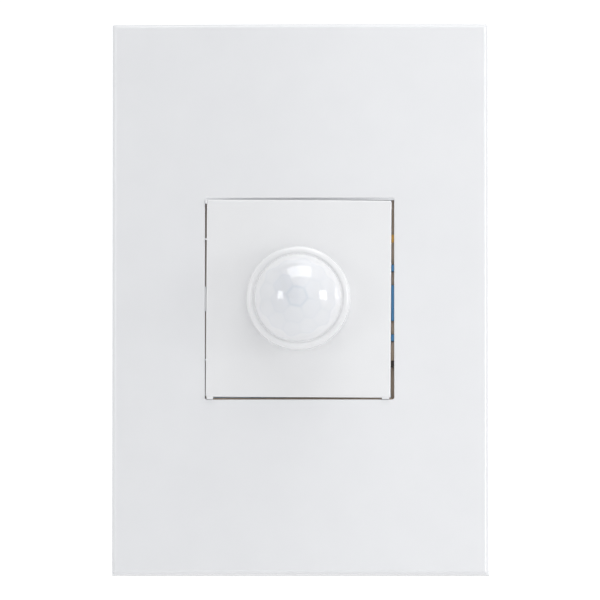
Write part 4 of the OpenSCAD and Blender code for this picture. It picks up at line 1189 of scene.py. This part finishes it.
case = softened_copy("rear_housing", "rear_case", CASE_SOFT)
noses = [upright("latch_nose", 1, LATCH_Z + low, LATCH_Z + high, LATCH_FRONT)
         for low, high in ((-LATCH_HALF, LATCH_HALF), (GUIDE_IN, GUIDE_OUT), (-GUIDE_OUT, -GUIDE_IN))]
border = block("label_border", (LABEL_LOW.x, case_back - HAIR, LABEL_LOW.z),
               (LABEL_HIGH.x, case_back + MARK_RELIEF, LABEL_HIGH.z))
carve(border, block("label_tool", (LABEL_LOW.x + STROKE, 0, LABEL_LOW.z + STROKE),
                    (LABEL_HIGH.x - STROKE, 2 * case_back, LABEL_HIGH.z - STROKE)))
soften(border, BORDER_SOFT)
case = unite([case, *noses, *signs, border])
dress(case, "switch", "housing_blue", "rear_housing")

# %% [markdown]
# ## The box screws
# Two machine screws hold the support frame to the wall box. A screw's head is a short cylinder with a
# domed top, a slot and a cross recess. Its thread is a V that the Screw modifier winds along the shank.

# %% A screw's head and neck
screw_low, screw_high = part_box("box_screws")
HEAD_RADIUS = 3.5 * MM
HEAD_HEIGHT = 2.2 * MM
HEAD_DOME = 1.2 * MM
HEAD_SIDES = 72
HEAD_SEGMENTS = 7
HEAD_SOFT = 0.1 * MM
SLOT_HALF = 0.45 * MM
SLOT_DEEP = 1.0 * MM
CROSS_HALF = 2.2 * MM
CROSS_DEEP = 1.3 * MM
NECK_RADIUS = 1.5 * MM
NECK_IN = 0.5 * MM
THREAD_PITCH = 0.6 * MM
screw_z = screw_high.z - HEAD_RADIUS
head_back = screw_low.y + HEAD_HEIGHT

head = rod("box_screw_pair", HEAD_RADIUS, (0, screw_low.y, 0), (0, head_back, 0), HEAD_SIDES)
edit(head)
pick(head, "EDGE", lambda e: middle(e).y < screw_low.y + HAIR)
bpy.ops.mesh.bevel(offset=HEAD_DOME, segments=HEAD_SEGMENTS, affect="EDGES")
for half_width, half_height, deep in ((2 * HEAD_RADIUS, SLOT_HALF, SLOT_DEEP),
                                      (SLOT_HALF, CROSS_HALF, CROSS_DEEP)):
    carve(head, block("recess_tool", (-half_width, 2 * screw_low.y, -half_height),
                      (half_width, screw_low.y + deep, half_height)))
soften(head, HEAD_SOFT)
neck = rod("box_screw_neck", NECK_RADIUS, (0, head_back - NECK_IN, 0), (0, THREAD_PITCH, 0))
print("head", round(2 * HEAD_RADIUS / MM, 1), "mm across")

# %% The thread, and a twin of the screw
THREAD_RADIUS = 1.72 * MM
THREAD_ROOT = 1.4 * MM
THREAD_STEPS = 24
TIP_SHARE = 0.72
clear()
bpy.ops.mesh.primitive_plane_add(size=THREAD_PITCH, location=(THREAD_ROOT, THREAD_PITCH / 2, 0))
thread = added("box_screw_thread")
edit(thread)
pick(thread, "VERT", lambda v: v.co.x > THREAD_ROOT)
bpy.ops.mesh.merge(type="CENTER")
bpy.ops.mesh.select_all(action="SELECT")
bpy.ops.mesh.delete(type="ONLY_FACE")
pick(thread, "EDGE", lambda e: max(v.co.x for v in e.verts) < THREAD_ROOT)
bpy.ops.mesh.delete(type="EDGE")
mesh = bmesh.from_edit_mesh(thread.data)
for v in mesh.verts:
    v.co.x = THREAD_RADIUS if v.co.x > THREAD_ROOT else THREAD_ROOT
bmesh.update_edit_mesh(thread.data)
thread_turns = int((screw_high.y - 2 * THREAD_PITCH) / THREAD_PITCH)
modify(thread, "SCREW", axis="Y", screw_offset=THREAD_PITCH, iterations=thread_turns, steps=THREAD_STEPS,
       render_steps=THREAD_STEPS, use_merge_vertices=True, merge_threshold=WELD)
edit(thread)
pick(thread, "EDGE", lambda e: e.is_boundary and middle(e).y > screw_high.y / 2)
bpy.ops.mesh.extrude_edges_move()
bpy.ops.transform.resize(value=(TIP_SHARE, 0, TIP_SHARE), center_override=(0, screw_high.y, 0))
bpy.ops.mesh.edge_face_add()
pick(thread, "EDGE", lambda e: e.is_boundary)
bpy.ops.mesh.edge_face_add()
weld(thread)
screws = unite([head, neck, thread])
focus(screws)
bpy.ops.transform.translate(value=(0, 0, screw_z))
bpy.ops.object.transform_apply(location=True)
bpy.ops.object.duplicate()
twin = bpy.context.object
bpy.ops.transform.translate(value=(0, 0, -2 * screw_z))
bpy.ops.object.transform_apply(location=True)
screws = unite([screws, twin])
dress(screws, "switch", "screw_steel", "box_screws")

# %% [markdown]
# ## Inner parts
# The boards, the relay and the small parts are closed in by the housing. Their solids stay, and each gets
# the finish that its record names.

# %% Finishes for the nodes that stay
made_for = {node for piece in bpy.data.objects for node in piece.get("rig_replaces", [])}
for part in frame["record"]["subparts"]:
    node = frame["nodes"][part["node"]]
    if part["node"] not in made_for:
        node.data.materials.clear()
        node.data.materials.append(finishes[part["material_slot"]])
print(len(frame["nodes"]) - len(made_for), "nodes keep their solids")

# %% [markdown]
# ## Floor
# A plain pale floor lies a little below the switch, out of the portrait's view.

# %% Floor
FLOOR_GAP = 40 * MM
FLOOR_SIDE = 4.0
FLOOR_MOTTLE = 60 * MM
FLOOR_ROUGH = 0.8
clear()
bpy.ops.mesh.primitive_plane_add(size=FLOOR_SIDE, location=(0, 0, cad_low.z - FLOOR_GAP))
floor = added("pale_floor")
floor_finish, floor_shader, floor_coords = open_finish("floor_paper")
cloud = mottle(floor_finish, floor_coords, FLOOR_MOTTLE)
paper = blend_tones(floor_finish, cloud, (0.90, 0.90, 0.90), (0.93, 0.93, 0.93))
connect(floor_finish, paper, floor_shader, "Base Color")
floor_shader.inputs["Roughness"].default_value = FLOOR_ROUGH
floor.data.materials.append(floor_finish)
floor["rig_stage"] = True
print("floor", FLOOR_SIDE, "m wide")

# %% [markdown]
# ## The end
# The size of the finished model is written beside that of the solids, so that the two can be compared.

# %% Sizes and the end
low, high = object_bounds()
print("visual box", [round(s / MM, 2) for s in high - low], "mm")
